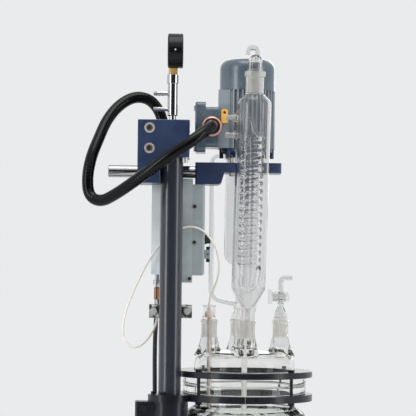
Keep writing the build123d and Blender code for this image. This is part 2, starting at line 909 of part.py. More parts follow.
support_ring.part.label = "support_ring"
export_step(support_ring.part, "parts/support_ring.step")

# Support clamp on the post, under the ring's ear
support_height = 46.0
clamp_low = support_low - support_height
clamp_lug_left = post_x - 60.0
clamp_lug_half = 18.0
lug_screw_x = post_x - 45.0
lug_screw_levels = (clamp_low + 12, clamp_low + 34)
with BuildPart() as support_clamp:
    with BuildSketch(Plane.XY.offset(clamp_low)):
        with Locations((post_x, post_y)):
            Circle(arm_boss_radius)
        with Locations(((clamp_lug_left + post_x) / 2, post_y)):
            RectangleRounded(post_x - clamp_lug_left, 2 * clamp_lug_half, 5)
        with Locations((post_x, post_y)):
            Circle(post_radius + seat, mode=Mode.SUBTRACT)
    extrude(amount=support_height)
    block(
        (clamp_lug_left, post_y - slit / 2, clamp_low),
        (post_x - post_radius, post_y + slit / 2, support_low),
        Mode.SUBTRACT,
    )
    for screw_level in lug_screw_levels:
        rod(
            Plane((lug_screw_x, post_y - clamp_lug_half, screw_level), z_dir=(0, 1, 0)),
            pinch_shank_radius - 1 + seat,
            2 * clamp_lug_half,
            Mode.SUBTRACT,
        )
    for place in ear_bolts:
        rod(leaning(*place, support_low), m5_radius + seat, -16, Mode.SUBTRACT)
support_clamp.part.label = "support_clamp"
export_step(support_clamp.part, "parts/support_clamp.step")

# Bolts through both rings, the ear's screws and the clamp's screws
with BuildPart() as ring_bolts:
    for place in ring_bolt_places:
        screw(leaning(*place, ring_top), 5.6, 5, m6_radius, ring_top - support_low + 9, hexagon=True)
        with BuildSketch(Plane.XY.offset(support_low)) as nut:
            with Locations(place):
                RegularPolygon(5.8, 6)
        extrude(nut.sketch, amount=-5)
    for place in ear_bolts:
        screw(leaning(*place, support_top), 4.2, 5, m5_radius, support_thick + 15)
    for screw_level in lug_screw_levels:
        screw(
            Plane((lug_screw_x, post_y - clamp_lug_half, screw_level), z_dir=(0, -1, 0)),
            6.5,
            8,
            pinch_shank_radius - 1,
            2 * clamp_lug_half,
        )
ring_bolts.part.label = "ring_bolts"
export_step(ring_bolts.part, "parts/ring_bolts.step")

# Drain valve under the vessel: a flanged glass body with a cross barrel and a spout
drain_barrel = drain_level - 40.0
drain_barrel_radius = 15.0
drain_plug_radius = 10.0
drain_half = 26.0
spout_low = drain_level - 98.0
spout_radius = 8.0
drain_plane = leaning(axis_x, 0, drain_level)
with BuildPart() as drain_valve:
    turn(
        drain_plane,
        [
            (0, 0),
            (drain_flange_radius, 0),
            (drain_flange_radius, -drain_flange_thick, 1),
            (13, -drain_flange_thick, 4),
            (13, -64, 4),
            (spout_radius, -72, 3),
            (spout_radius, spout_low - drain_level),
            (0, spout_low - drain_level),
        ],
    )
    rod(Plane((axis_x, -drain_half, drain_barrel), z_dir=(0, 1, 0)), drain_barrel_radius, 2 * drain_half)
    turn(
        drain_plane,
        [
            (0, 0),
            (drain_bore, 0),
            (drain_bore, -16),
            (5.5, -26),
            (5.5, spout_low - drain_level),
            (0, spout_low - drain_level),
        ],
        Mode.SUBTRACT,
    )
    rod(
        Plane((axis_x, -drain_half, drain_barrel), z_dir=(0, 1, 0)),
        drain_plug_radius + running,
        2 * drain_half,
        Mode.SUBTRACT,
    )
drain_valve.part.label = "drain_valve"
export_step(drain_valve.part, "parts/drain_valve.step")


def plug(plane, radius, half, nut_radius, handle_length, handle_width, bore):
    """A valve plug: a bored cylinder with a nut at one end and a bar handle at the other."""
    rod(plane.offset(-half - gap), radius, 2 * half + 2 * gap)
    rod(plane.offset(half + gap), nut_radius, 6)
    with BuildSketch(plane.offset(-half - gap)) as handle:
        SlotOverall(handle_length, handle_width, rotation=90)
        Circle(radius + 2)
    extrude(handle.sketch, amount=-8)
    across = Plane(plane.origin, z_dir=plane.y_dir)
    rod(across.offset(-radius - 1), bore, 2 * radius + 2, Mode.SUBTRACT)


# Plug of the drain valve, with its handle at the front
with BuildPart() as drain_plug:
    drain_plug_plane = Plane((axis_x, 0, drain_barrel), x_dir=(1, 0, 0), z_dir=(0, 1, 0))
    plug(drain_plug_plane, drain_plug_radius, drain_half, 13.5, 62, 15, 5.5)
drain_plug.part.label = "drain_plug"
export_step(drain_plug.part, "parts/drain_plug.step")

# Condenser: a glass jacket with a joint at each end and two hose barbs
condenser_inner = condenser_radius - condenser_wall
barb_plane_x = tuple(-front_neck.x_dir)
with BuildPart() as condenser_body:
    turn(
        front_neck,
        [
            (0, -joint_length),
            (neck_bore - seat - 1, -joint_length),
            (neck_bore - seat, 0),
            (collar_radius, 0),
            (collar_radius, condenser_taper, 8),
            (condenser_radius, condenser_low, 14),
            (condenser_radius, condenser_high, 15),
            (top_joint_radius, condenser_neck, 4),
            (top_joint_radius, condenser_joint - 11),
            (top_rim_radius, condenser_joint - 10, 1),
            (top_rim_radius, condenser_joint, 1),
            (0, condenser_joint),
        ],
    )
    for barb_level in (barb_upper, barb_lower):
        barb_plane = Plane(front_neck.offset(barb_level).origin, z_dir=barb_plane_x)
        rod(barb_plane.offset(condenser_radius - 4), 7.5, 8)
        rod(barb_plane.offset(condenser_radius - 4), barb_radius, barb_reach - condenser_radius + 4)
    turn(
        front_neck,
        [
            (0, -joint_length),
            (8.5, -joint_length),
            (8.5, condenser_taper, 8),
            (condenser_inner, condenser_low + 1, 12),
            (condenser_inner, condenser_high - 1, 12),
            (12.5, condenser_neck, 4),
            (12.5, condenser_joint),
            (0, condenser_joint),
        ],
        Mode.SUBTRACT,
    )
    for barb_level in (barb_upper, barb_lower):
        barb_plane = Plane(front_neck.offset(barb_level).origin, z_dir=barb_plane_x)
        rod(barb_plane.offset(condenser_radius - 6), 2.8, barb_reach, Mode.SUBTRACT)
condenser_body.part.label = "condenser_body"
export_step(condenser_body.part, "parts/condenser_body.step")

# Glass coil inside the condenser: a helix of hexagonal section, its return tube up the middle
coil_top = coil_low + coil_pitch * coil_turns
coil_plane = front_neck.offset(coil_low)
coil_bore_end = condenser_inner - gap
return_radius = 3.6
return_low = 60.0
with BuildPart() as condenser_coil:
    with BuildLine() as coil_line:
        add(coil_plane.location * Edge.make_helix(coil_pitch, coil_pitch * coil_turns, coil_radius))
    with BuildSketch(Plane(coil_line.line @ 0, z_dir=coil_line.line % 0)) as coil_section:
        RegularPolygon(coil_tube, 6)
    sweep(coil_section.sketch, path=coil_line.line, is_frenet=True)
    return_route = [
        (coil_radius, 2, coil_low),
        (coil_radius, -9, coil_low - 3),
        (11, -8, return_low),
        (0, 0, return_low - 3),
        (0, 0, barb_lower),
        (-coil_bore_end, 0, barb_lower),
    ]
    pipe(placed(front_neck, return_route), (5, 5, 5, 8), return_radius)
    feed_route = [
        (coil_radius, -2, coil_top),
        (coil_radius - 2, 9, coil_top + 2),
        (3, 7, coil_top + 13),
        (-1, 0, barb_upper),
        (-coil_bore_end, 0, barb_upper),
    ]
    pipe(placed(front_neck, feed_route), (4, 5, 7), return_radius)
condenser_coil.part.label = "condenser_coil"
export_step(condenser_coil.part, "parts/condenser_coil.step")

# Outlet adapter in the condenser's top joint, with a tube that bends over to the left
outlet_plane = front_neck.offset(condenser_joint)
outlet_route = [(3, 0, 18), (3, 0, 41), (-13, 0, 41), (-13.5, 0, 28)]
with BuildPart() as condenser_outlet:
    turn(
        outlet_plane,
        [
            (0, -24),
            (12.5 - seat - 1, -24),
            (12.5 - seat, 0),
            (13.5, 0),
            (13.5, 3),
            (11.9, 4),
            (11.9, 28, 10),
            (0, 30),
        ],
    )
    pipe(placed(outlet_plane, outlet_route), (7, 7), 4.6)
    turn(outlet_plane, [(0, -24), (9, -24), (9, 20, 7), (0, 24)], Mode.SUBTRACT)
    pipe(placed(outlet_plane, outlet_route), (7, 7), 2.8, Mode.SUBTRACT)
condenser_outlet.part.label = "condenser_outlet"
export_step(condenser_outlet.part, "parts/condenser_outlet.step")

# Dropping funnel on the rear neck, with its pressure-equalising arm on the left
funnel_wall = 2.2
funnel_barrel = Plane(rear_neck.offset(funnel_valve).origin, x_dir=rear_neck.x_dir, z_dir=-rear_neck.y_dir)
arm_route = [
    (-20, 0, funnel_high - 14),
    (-20, 0, funnel_high + 10),
    (-funnel_arm_offset, 0, funnel_high + 10),
    (-funnel_arm_offset, 0, 36),
    (-3, 0, 26),
]
arm_radii = (14, 14, 22)
with BuildPart() as dropping_funnel:
    turn(
        rear_neck,
        [
            (0, -joint_length),
            (neck_bore - seat - 1, -joint_length),
            (neck_bore - seat, 0),
            (collar_radius, 0),
            (collar_radius, 8, 3),
            (6.5, 14, 3),
            (6.5, funnel_low - 6, 5),
            (funnel_radius, funnel_low, 22),
            (funnel_radius, funnel_high, 20),
            (13, funnel_high + 8, 4),
            (13, funnel_top - 32),
            (14.6, funnel_top - 30),
            (14.6, funnel_top, 1),
            (0, funnel_top),
        ],
    )
    rod(funnel_barrel.offset(-valve_half), barrel_radius, 2 * valve_half)
    pipe(placed(rear_neck, arm_route), arm_radii, funnel_arm_radius)
    turn(
        rear_neck,
        [
            (0, -joint_length),
            (8.5, -joint_length),
            (8.5, 4, 3),
            (3, 14, 3),
            (3, funnel_low - 4, 4),
            (funnel_radius - funnel_wall, funnel_low + funnel_wall, 20),
            (funnel_radius - funnel_wall, funnel_high - funnel_wall, 18),
            (10.5, funnel_high + 5, 4),
            (11.6, funnel_top),
            (0, funnel_top),
        ],
        Mode.SUBTRACT,
    )
    pipe(placed(rear_neck, arm_route), arm_radii, funnel_arm_radius - 1.4, Mode.SUBTRACT)
    rod(funnel_barrel.offset(-valve_half), plug_radius + running, 2 * valve_half, Mode.SUBTRACT)
dropping_funnel.part.label = "dropping_funnel"
export_step(dropping_funnel.part, "parts/dropping_funnel.step")

with BuildPart() as funnel_plug:
    plug(funnel_barrel, plug_radius, valve_half, 9, 34, 9, 2)
funnel_plug.part.label = "funnel_plug"
export_step(funnel_plug.part, "parts/funnel_plug.step")

# Ground stopper in the funnel's top joint
with BuildPart() as funnel_stopper:
    turn(
        rear_neck.offset(funnel_top),
        [
            (0, -24),
            (10.2, -24),
            (11.6 - seat - 0.4, 0),
            (14, 0.2),
            (14, 3, 1),
            (6, 7, 3),
            (13, 14, 4),
            (11, 22, 3),
            (0, 23),
        ],
    )
funnel_stopper.part.label = "funnel_stopper"
export_step(funnel_stopper.part, "parts/funnel_stopper.step")

# Sensor adapter on the left neck: an open cup above, a closed thermowell below
cup_height = 26.0
cup_radius = 10.6
cup_floor = 4.0
well_radius = 5.5
well_bore = 4.0
well_depth = 320.0
with BuildPart() as sensor_adapter:
    turn(
        left_neck,
        [
            (0, -well_depth),
            (well_radius, -well_depth, 4),
            (well_radius, -joint_length, 2),
            (neck_bore - seat - 1, -joint_length, 2),
            (neck_bore - seat, 0),
            (12.4, 0),
            (12.4, 5, 1),
            (cup_radius, 7),
            (cup_radius, cup_height - 3),
            (cup_radius + 1.2, cup_height - 2, 0.8),
            (cup_radius + 1.2, cup_height, 0.8),
            (0, cup_height),
        ],
    )
    rod(left_neck.offset(cup_floor), cup_radius - 2, cup_height, Mode.SUBTRACT)
    rod(left_neck.offset(3 - well_depth), well_bore, well_depth + cup_height, Mode.SUBTRACT)
sensor_adapter.part.label = "sensor_adapter"
export_step(sensor_adapter.part, "parts/sensor_adapter.step")

# Temperature probe in the thermowell, with its head in the cup
probe_top = 22.0
with BuildPart() as sensor_probe:
    turn(
        left_neck,
        [
            (0, 5 - well_depth),
            (3, 5 - well_depth, 2),
            (3, cup_floor),
            (8, cup_floor),
            (8, 14, 2),
            (3.4, 15),
            (3, probe_top),
            (0, probe_top),
        ],
    )
sensor_probe.part.label = "sensor_probe"
export_step(sensor_probe.part, "parts/sensor_probe.step")

# Gas adapter on the right neck: a stopcock and a tube that bends to the right
gas_valve = 42.0
gas_half = 12.0
gas_foot = Vector(3, 0, 0)
gas_barrel = Plane(right_neck.offset(gas_valve).origin - gas_foot, x_dir=(0, 1, 0), z_dir=(1, 0, 0))
gas_route = [(0, 0, gas_valve), (0, 0, 76.6), (20.5, 0, 76.6)]
with BuildPart() as gas_adapter:
    turn(
        right_neck,
        [
            (0, -joint_length),
            (neck_bore - seat - 1, -joint_length),
            (neck_bore - seat, 0),
            (12.4, 0),
            (12.4, 4, 1),
            (11.6, 5.5),
            (11.2, 12, 8),
            (5.4, 24, 6),
            (5.4, 30, 3),
            (8.6, 34, 3),
            (8.6, gas_valve),
            (0, gas_valve),
        ],
    )
    rod(gas_barrel.offset(-gas_half), barrel_radius, 2 * gas_half)
    pipe(placed(right_neck, gas_route), (9,), 4.9)
    turn(
        right_neck,
        [
            (0, -joint_length),
            (8.5, -joint_length),
            (8.5, 9, 4),
            (2.5, 21, 3),
            (2.5, gas_valve),
            (0, gas_valve),
        ],
        Mode.SUBTRACT,
    )
    pipe(placed(right_neck, gas_route), (9,), 2.5, Mode.SUBTRACT)
    rod(gas_barrel.offset(-gas_half), plug_radius + running, 2 * gas_half, Mode.SUBTRACT)
gas_adapter.part.label = "gas_adapter"
export_step(gas_adapter.part, "parts/gas_adapter.step")

with BuildPart() as gas_plug:
    plug(gas_barrel, plug_radius, gas_half, 8, 26, 8, 2)
gas_plug.part.label = "gas_plug"
export_step(gas_plug.part, "parts/gas_plug.step")

# Pressure gauge that faces right, on its brass stem
gauge_plane = Plane((gauge_back, post_y, gauge_level), x_dir=(0, 1, 0), z_dir=(1, 0, 0))
dial_seat = gauge_depth - dial_setback - dial_thick
gauge_inner = gauge_radius - gauge_wall
pointer_base = dial_seat + dial_thick + gap
with BuildPart() as gauge_case:
    turn(
        gauge_plane,
        [
            (0, 0),
            (gauge_radius, 0, 3),
            (gauge_radius, gauge_depth - 6),
            (gauge_radius - 0.8, gauge_depth - 6),
            (gauge_radius - 0.8, gauge_depth - 5),
            (gauge_radius, gauge_depth - 5),
            (gauge_radius, gauge_depth, 1.5),
            (0, gauge_depth),
        ],
    )
    rod(gauge_plane.offset(dial_seat), gauge_inner, gauge_depth, Mode.SUBTRACT)
    rod(gauge_plane.offset(dial_seat - 6), 1.5 + running, 8, Mode.SUBTRACT)
gauge_case.part.label = "gauge_case"
export_step(gauge_case.part, "parts/gauge_case.step")

with BuildPart() as gauge_dial:
    rod(gauge_plane.offset(dial_seat), gauge_inner - seat, dial_thick)
    rod(gauge_plane.offset(dial_seat), 2.2, dial_thick, Mode.SUBTRACT)
gauge_dial.part.label = "gauge_dial"
export_step(gauge_dial.part, "parts/gauge_dial.step")

with BuildPart() as gauge_pointer:
    rod(gauge_plane.offset(dial_seat - 5), 1.5, pointer_base + 2 - dial_seat + 5)
    rod(gauge_plane.offset(pointer_base), 3.6, 2)
    with BuildSketch(gauge_plane.offset(pointer_base + 0.4)) as needle:
        with BuildLine():
            Polyline(
                (-8, -1.6),
                (-8, 1.6),
                (0, 1.3),
                (pointer_length, 0.3),
                (pointer_length, -0.3),
                (0, -1.3),
                close=True,
            )
        make_face()
    extrude(needle.sketch.rotate(Axis(gauge_plane.origin, gauge_plane.z_dir), 225), amount=0.8)
gauge_pointer.part.label = "gauge_pointer"
export_step(gauge_pointer.part, "parts/gauge_pointer.step")

with BuildPart() as gauge_lens:
    rod(gauge_plane.offset(gauge_depth - 1 - lens_thick), gauge_inner - seat, lens_thick)
gauge_lens.part.label = "gauge_lens"
export_step(gauge_lens.part, "parts/gauge_lens.step")

gauge_low = gauge_level - gauge_radius - seat
with BuildPart() as gauge_stem:
    with BuildSketch(Plane.XY.offset(manifold_high)):
        with Locations((post_x, post_y)):
            RegularPolygon(8, 6)
    extrude(amount=gauge_low - manifold_high)
gauge_stem.part.label = "gauge_stem"
export_step(gauge_stem.part, "parts/gauge_stem.step")

# Chrome manifold on the block, with two hose barbs to the left
with BuildPart() as hose_manifold:
    turn(
        post_axis,
        [
            (0, block_top),
            (6, block_top),
            (6, manifold_low),
            (manifold_radius, manifold_low, 2),
            (manifold_radius, manifold_collar),
            (manifold_collar_radius, manifold_collar, 1),
            (manifold_collar_radius, manifold_high, 1),
            (0, manifold_high),
        ],
    )
    for barb_level in (hose_barb_upper, hose_barb_lower):
        turn(
            Plane((post_x - manifold_radius + 1, post_y, barb_level), x_dir=(0, 1, 0), z_dir=(-1, 0, 0)),
            [
                (0, 0),
                (3.6, 0),
                (3.6, 8),
                (4.4, 8),
                (3.4, 14),
                (4.4, 14),
                (3.4, 20),
                (4.4, 20),
                (3.2, hose_barb_length + 1),
                (0, hose_barb_length + 1),
            ],
        )
hose_manifold.part.label = "hose_manifold"
export_step(hose_manifold.part, "parts/hose_manifold.step")

# Control box behind the post: the middle case with two saddles that fit the post
saddle_levels = (ring_top + 172.0, ring_top + 300.0)
saddle_height = 24.0
with BuildPart() as control_box:
    block((control_left, control_front, control_low), (control_mid, control_back, control_top))
    fillet(control_box.edges().filter_by(Axis.X), 4)
    for saddle_level in saddle_levels:
        block(
            (post_x - 17, post_y + 10, saddle_level),
            (post_x + 17, control_front, saddle_level + saddle_height),
        )
    rod(leaning(post_x, post_y, control_low), post_radius + seat, control_top - control_low, Mode.SUBTRACT)
control_box.part.label = "control_box"
export_step(control_box.part, "parts/control_box.step")

# Front cover, facing right, with the knob's hole and the ears of the rocker switch
ear_gap = 20.0
ear_thick = 3.0
rocker_axis = control_right + 6.0
with BuildPart() as control_cover:
    block((control_mid, control_front, cover_low), (control_right, control_back, cover_top))
    fillet(control_cover.faces().sort_by(Axis.X)[-1].edges(), 5)
    for ear_y in (panel_y - ear_gap / 2 - ear_thick, panel_y + ear_gap / 2):
        block(
            (control_right - 1, ear_y, switch_level - 8),
            (rocker_axis + 4, ear_y + ear_thick, switch_level + 8),
        )
    rod(
        Plane((rocker_axis, panel_y - ear_gap, switch_level), z_dir=(0, 1, 0)),
        1.5 + running,
        2 * ear_gap,
        Mode.SUBTRACT,
    )
    rod(Plane((control_right, panel_y, knob_level), z_dir=(-1, 0, 0)), 3 + running, 10, Mode.SUBTRACT)
control_cover.part.label = "control_cover"
export_step(control_cover.part, "parts/control_cover.step")

# Heat sink on the left of the control box, with fine upright fins
groove_pitch = 6.0
groove_count = 19
groove_depth = 10.0
with BuildPart() as heat_sink:
    block((sink_left, control_front + 3, sink_low), (control_left, control_back - 3, sink_top))
    with BuildSketch(Plane.XY.offset(sink_low)) as grooves:
        with Locations((sink_left + groove_depth / 2, (control_front + control_back) / 2)):
            with GridLocations(0, groove_pitch, 1, groove_count):
                Rectangle(groove_depth, groove_pitch / 2)
    extrude(grooves.sketch, amount=sink_top - sink_low, mode=Mode.SUBTRACT)
heat_sink.part.label = "heat_sink"
export_step(heat_sink.part, "parts/heat_sink.step")

# Speed knob and rocker switch
with BuildPart() as speed_knob:
    turn(
        Plane((control_right, panel_y, knob_level), x_dir=(0, 1, 0), z_dir=(1, 0, 0)),
        [(0, -9), (3, -9), (3, gap), (9, gap), (9, 3, 1), (7.8, 3.5), (7.2, 11, 1), (0, 11)],
    )
speed_knob.part.label = "speed_knob"
export_step(speed_knob.part, "parts/speed_knob.step")

rocker_half = 14.0
with BuildPart() as power_switch:
    with BuildSketch(Plane.XZ.offset(-(panel_y + ear_gap / 2 - gap))):
        with BuildLine():
            Polyline(
                (rocker_axis - 3, switch_level - rocker_half),
                (rocker_axis + 4, switch_level - rocker_half),
                (rocker_axis + 2.5, switch_level),
                (rocker_axis + 4, switch_level + rocker_half),
                (rocker_axis - 3, switch_level + rocker_half),
                close=True,
            )
        make_face()
    extrude(amount=ear_gap - 2 * gap)
    rod(
        Plane((rocker_axis, panel_y - ear_gap / 2 - ear_thick, switch_level), z_dir=(0, 1, 0)),
        1.5,
        ear_gap + 2 * ear_thick,
    )
power_switch.part.label = "power_switch"
export_step(power_switch.part, "parts/power_switch.step")

# Cross bar behind the post that the cables run past
with BuildPart() as post_cross_bar:
    block((post_x - bar_half, post_y + 14, bar_low), (post_x + bar_half, bar_back, bar_low + bar_height))
    fillet(post_cross_bar.edges().filter_by(Axis.X), 6)
    rod(leaning(post_x, post_y, bar_low), post_radius + seat, bar_height, Mode.SUBTRACT)
post_cross_bar.part.label = "post_cross_bar"
export_step(post_cross_bar.part, "parts/post_cross_bar.step")

# Cable glands: two under the heat sink and one on top of the control box
conduit_end = (axis_x - 138.0, 56.0, control_top + 16.0)
gland_low = ring_top + 125.0
with BuildPart() as cable_glands:
    for gland_y in (sensor_gland_y, power_gland_y):
        turn(
            leaning(cable_gland_x, gland_y, gland_low),
            [
                (0, 0),
                (4.6, 0, 0.8),
                (4.6, cable_gland_length, 0.8),
                (3.4, cable_gland_length + 1),
                (3.4, cable_gland_length + 6),
                (6.4, cable_gland_length + 6),
                (6.4, cable_gland_length + 14),
                (3.4, cable_gland_length + 14),
                (3.4, sink_low - gland_low),
                (0, sink_low - gland_low),
            ],
        )
    turn(
        leaning(conduit_end[0], conduit_end[1], control_top),
        [(0, 0), (15, 0), (15, 12, 2), (12.5, 16, 1), (0, 16)],
    )
cable_glands.part.label = "cable_glands"
export_step(cable_glands.part, "parts/cable_glands.step")

# Small screws: terminal lid, control cover and cross bar
lid_screw_y = lid_depth / 2 - 8
lid_screw_z = lid_height / 2 - 8
case_screws = (
    (control_mid + 4, control_front, cover_top - 39.5),
    (control_mid + 4, control_front, cover_low + 59),
    (control_mid - 4, control_front, control_low + 7),
)
with BuildPart() as cover_screws:
    for sign_y in (-1, 1):
        for sign_z in (-1, 1):
            corner = Vector(sign_y * lid_screw_y, sign_z * lid_screw_z, box_lid_thick)
            rod(Plane(lid_plane.from_local_coords(corner), z_dir=(-1, 0, 0)), 3.5, 2.5)
    for place in case_screws:
        rod(Plane(place, z_dir=(0, -1, 0)), 3.2, 2.2)
    for side in (-1, 1):
        bar_screw = (post_x + side * (bar_half - 8), post_y + 14, bar_low + bar_height / 2)
        rod(Plane(bar_screw, z_dir=(0, -1, 0)), 6, 5)
cover_screws.part.label = "cover_screws"
export_step(cover_screws.part, "parts/cover_screws.step")

# Routes of the conduit and the cords, from the vessel's axis and the top of the clamp ring
conduit_points = [
    (gland_x - axis_x, box_body_front - gland_length, gland_level - ring_top),
    (gland_x - axis_x, -92, gland_level - ring_top),
    (-71, -120, 424),
    (-93, -137, 406),
    (-127, -141, 382),
    (-164, -130, 356),
    (-198, -110, 332),
    (-230, -84, 311),
    (-259, -58, 297),
    (-281, -44, 309),
    (-284, -42, 343),
    (-278, -33, 379),
    (-266, -12, 413),
    (-253, 14, 449),
    (-231, 37, 479),
    (-203, 50, 495),
    (-176, 55, 490),
    (-158, 57, 468),
    (-150, 57, 437),
    (conduit_end[0] - axis_x, conduit_end[1], 396),
    (conduit_end[0] - axis_x, conduit_end[1], conduit_end[2] - ring_top),
]
sensor_points = [
    (-side_neck_offset, 0, neck_level - ring_top + probe_top),
    (-side_neck_offset, 0, 126),
    (-57, -1, 143),
    (-49, -4, 163),
    (-46, -9, 188),
    (-51, -17, 214),
    (-64, -28, 238),
    (-83, -36, 254),
    (-107, -36, 257),
    (-130, -35, 245),
    (-151, -35.3, 226),
    (-168, -38, 203),
    (-185, -42, 172),
    (-204, -45, 130),
    (-216, -46, 93),
    (-218, -45, 62),
    (-208, -44, 43),
    (-192, -42, 39),
    (-176, -36, 51),
    (-164, -24, 69),
    (-157, -12, 88),
    (cable_gland_x - axis_x, sensor_gland_y, 109),
    (cable_gland_x - axis_x, sensor_gland_y, gland_low - ring_top),
]
cord_points = [
    (cable_gland_x - axis_x, power_gland_y, gland_low - ring_top),
    (-159, 24, 92),
    (-156, 22, 40),
    (-157, 20, -40),
    (-154, 22, -140),
    (-157, 23, -250),
    (-155, 21, -360),
    (-158, 21, -470),
    (-157, 20, -560),
    (-158, 18, -620),
    (-162, 16, -660),
    (-171, 18, -694),
    (-181, 27, -716),
    (-190, 46, -726),
    (-194, 69, -725.7),
    (-194, 90, -725.7),
]
cord_end = (axis_x - 194, 90.0, ring_top - 725.7)


def cord_tube(points, radius, name):
    """A cord's tube along its route, with the radii and the length printed."""
    places = [Vector(axis_x + x, y, ring_top + z) for x, y, z in points]
    radii = corner_radii(places)
    pipe(places, radii, radius)
    with BuildLine() as route:
        FilletPolyline(*places, radius=radii)
    print(name, "length", round(route.wire().length, 1), "radii", [round(r) for r in radii])


with BuildPart() as conduit:
    cord_tube(conduit_points, conduit_radius, "conduit")
conduit.part.label = "conduit"
export_step(conduit.part, "parts/conduit.step")

with BuildPart() as sensor_cable:
    cord_tube(sensor_points, sensor_radius, "sensor_cable")
sensor_cable.part.label = "sensor_cable"
export_step(sensor_cable.part, "parts/sensor_cable.step")

with BuildPart() as power_cord:
    cord_tube(cord_points, cord_radius, "power_cord")
power_cord.part.label = "power_cord"
export_step(power_cord.part, "parts/power_cord.step")
for name, tube, radius in (
    ("conduit", conduit, conduit_radius),
    ("sensor_cable", sensor_cable, sensor_radius),
    ("power_cord", power_cord, cord_radius),
):
    print(name, "volume over section", round(tube.part.volume / (math.pi * radius**2), 1))

# Coil of the put-away cord on the base plate, and the plug that lies on it
with BuildPart() as cord_coil:
    turn(
        leaning(*coil_centre, base_top),
        [
            (coil_inner, 0, 6),
            (coil_outer, 0, 6),
            (coil_outer, coil_height, 6),
            (coil_inner, coil_height, 6),
        ],
    )
    rod(Plane(cord_end, z_dir=(0, 1, 0)), cord_radius, coil_centre[1] - cord_end[1])
cord_coil.part.label = "cord_coil"
export_step(cord_coil.part, "parts/cord_coil.step")

plug_level = base_top + coil_height + 12.0 + seat
plug_across = (coil_outer + coil_inner) / 2 - 2.0
with BuildPart() as power_plug:
    plug_start = (coil_centre[0] - 4, coil_centre[1] + plug_across, plug_level)
    plug_plane = Plane(plug_start, x_dir=(0, 1, 0), z_dir=(-1, 0, 0))
    turn(plug_plane, [(0, -14), (5, -14), (8, 0), (12, 4, 2), (12, 34, 2), (0, 34)])
    for pin_y in (-9.5, 9.5):
        rod(Plane(plug_plane.from_local_coords(Vector(pin_y, 0, 34)), z_dir=(-1, 0, 0)), 2.4, 19)
power_plug.part.label = "power_plug"
export_step(power_plug.part, "parts/power_plug.step")
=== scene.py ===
import math

import bmesh
import bpy
from mathutils import Euler, Matrix, Vector


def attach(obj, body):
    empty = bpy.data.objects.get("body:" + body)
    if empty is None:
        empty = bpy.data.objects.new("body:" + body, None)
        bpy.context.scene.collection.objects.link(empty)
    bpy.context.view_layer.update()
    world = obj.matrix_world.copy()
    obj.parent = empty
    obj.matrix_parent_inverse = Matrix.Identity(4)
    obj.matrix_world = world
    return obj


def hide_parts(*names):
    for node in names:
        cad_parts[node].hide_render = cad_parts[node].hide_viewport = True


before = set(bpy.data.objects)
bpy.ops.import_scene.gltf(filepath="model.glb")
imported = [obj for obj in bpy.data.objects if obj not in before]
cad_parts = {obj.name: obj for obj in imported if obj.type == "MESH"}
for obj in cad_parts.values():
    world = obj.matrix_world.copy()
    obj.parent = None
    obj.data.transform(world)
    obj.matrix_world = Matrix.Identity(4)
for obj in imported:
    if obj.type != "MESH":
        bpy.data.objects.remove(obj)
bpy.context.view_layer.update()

# Camera
# A long lens looks at the reactor from the front, a little below the middle of the
# condenser, and leans by half a degree as the photograph does.
photo_side, focal_pixels, sensor_width = 416, 2000, 36.0
camera_distance, camera_height, camera_aside = 3.6, 0.948, 0.0016
camera_pitch, camera_lean = math.radians(90 + 1.63), math.radians(0.63)
camera = bpy.data.objects.new("front_camera", bpy.data.cameras.new("front_camera"))
bpy.context.scene.collection.objects.link(camera)
camera.data.sensor_width = sensor_width
camera.data.lens = focal_pixels * sensor_width / photo_side
camera.data.clip_end = 60.0
camera_place = Matrix.Translation((camera_aside, -camera_distance, camera_height))
camera_tilt = Euler((camera_pitch, 0, 0)).to_matrix().to_4x4()
camera.matrix_world = camera_place @ camera_tilt @ Matrix.Rotation(camera_lean, 4, "Z")
bpy.context.scene.camera = camera
bpy.context.scene.view_settings.view_transform = "Standard"


# Conduit
# A flexible steel conduit in a black plastic skin springs in a high arch from the motor's
# terminal box round to the top of the control box. Its spiral strip shows as faint ribs.
class Varying:
    """A number that changes over a surface. Arithmetic on it adds Math nodes."""

    def __init__(self, shading, socket):
        self.shading = shading
        self.socket = socket

    def reckon(self, operation, *values):
        return self.shading.node("Math", {"operation": operation}, dict(enumerate(values)))

    def __add__(self, other):
        return self.reckon("ADD", self, other)

    def __radd__(self, other):
        return self.reckon("ADD", other, self)

    def __sub__(self, other):
        return self.reckon("SUBTRACT", self, other)

    def __rsub__(self, other):
        return self.reckon("SUBTRACT", other, self)

    def __mul__(self, other):
        return self.reckon("MULTIPLY", self, other)

    def __gt__(self, other):
        return self.reckon("GREATER_THAN", self, other)

    def __lt__(self, other):
        return self.reckon("LESS_THAN", self, other)


class Shading:
    """The nodes of one finish, of the room or of the light that fills it."""

    def __init__(self, tree):
        self.tree = tree
        self.shader = tree.nodes.get("Principled BSDF")

    def node(self, kind, settings=None, sockets=None, output=0):
        made = self.tree.nodes.new("ShaderNode" + kind)
        for name, value in (settings or {}).items():
            if name == "stops":
                for spare in range(len(value) - 2):
                    made.color_ramp.elements.new(0.5)
                for stop, (place, colour) in zip(made.color_ramp.elements, value):
                    stop.position, stop.color = place, colour
            else:
                setattr(made, name, value)
        self.join(made, sockets or {})
        return Varying(self, made.outputs[output])

    def join(self, node, sockets):
        for name, value in sockets.items():
            if isinstance(value, Varying):
                self.tree.links.new(value.socket, node.inputs[name])
            else:
                node.inputs[name].default_value = value


def shade(red, green, blue):
    """A colour given as a screen shows it, from 0 to 255, as the shaders take it."""
    parts = [part / 255 for part in (red, green, blue)]
    parts = [part / 12.92 if part < 0.04045 else ((part + 0.055) / 1.055) ** 2.4 for part in parts]
    return (*parts, 1.0)


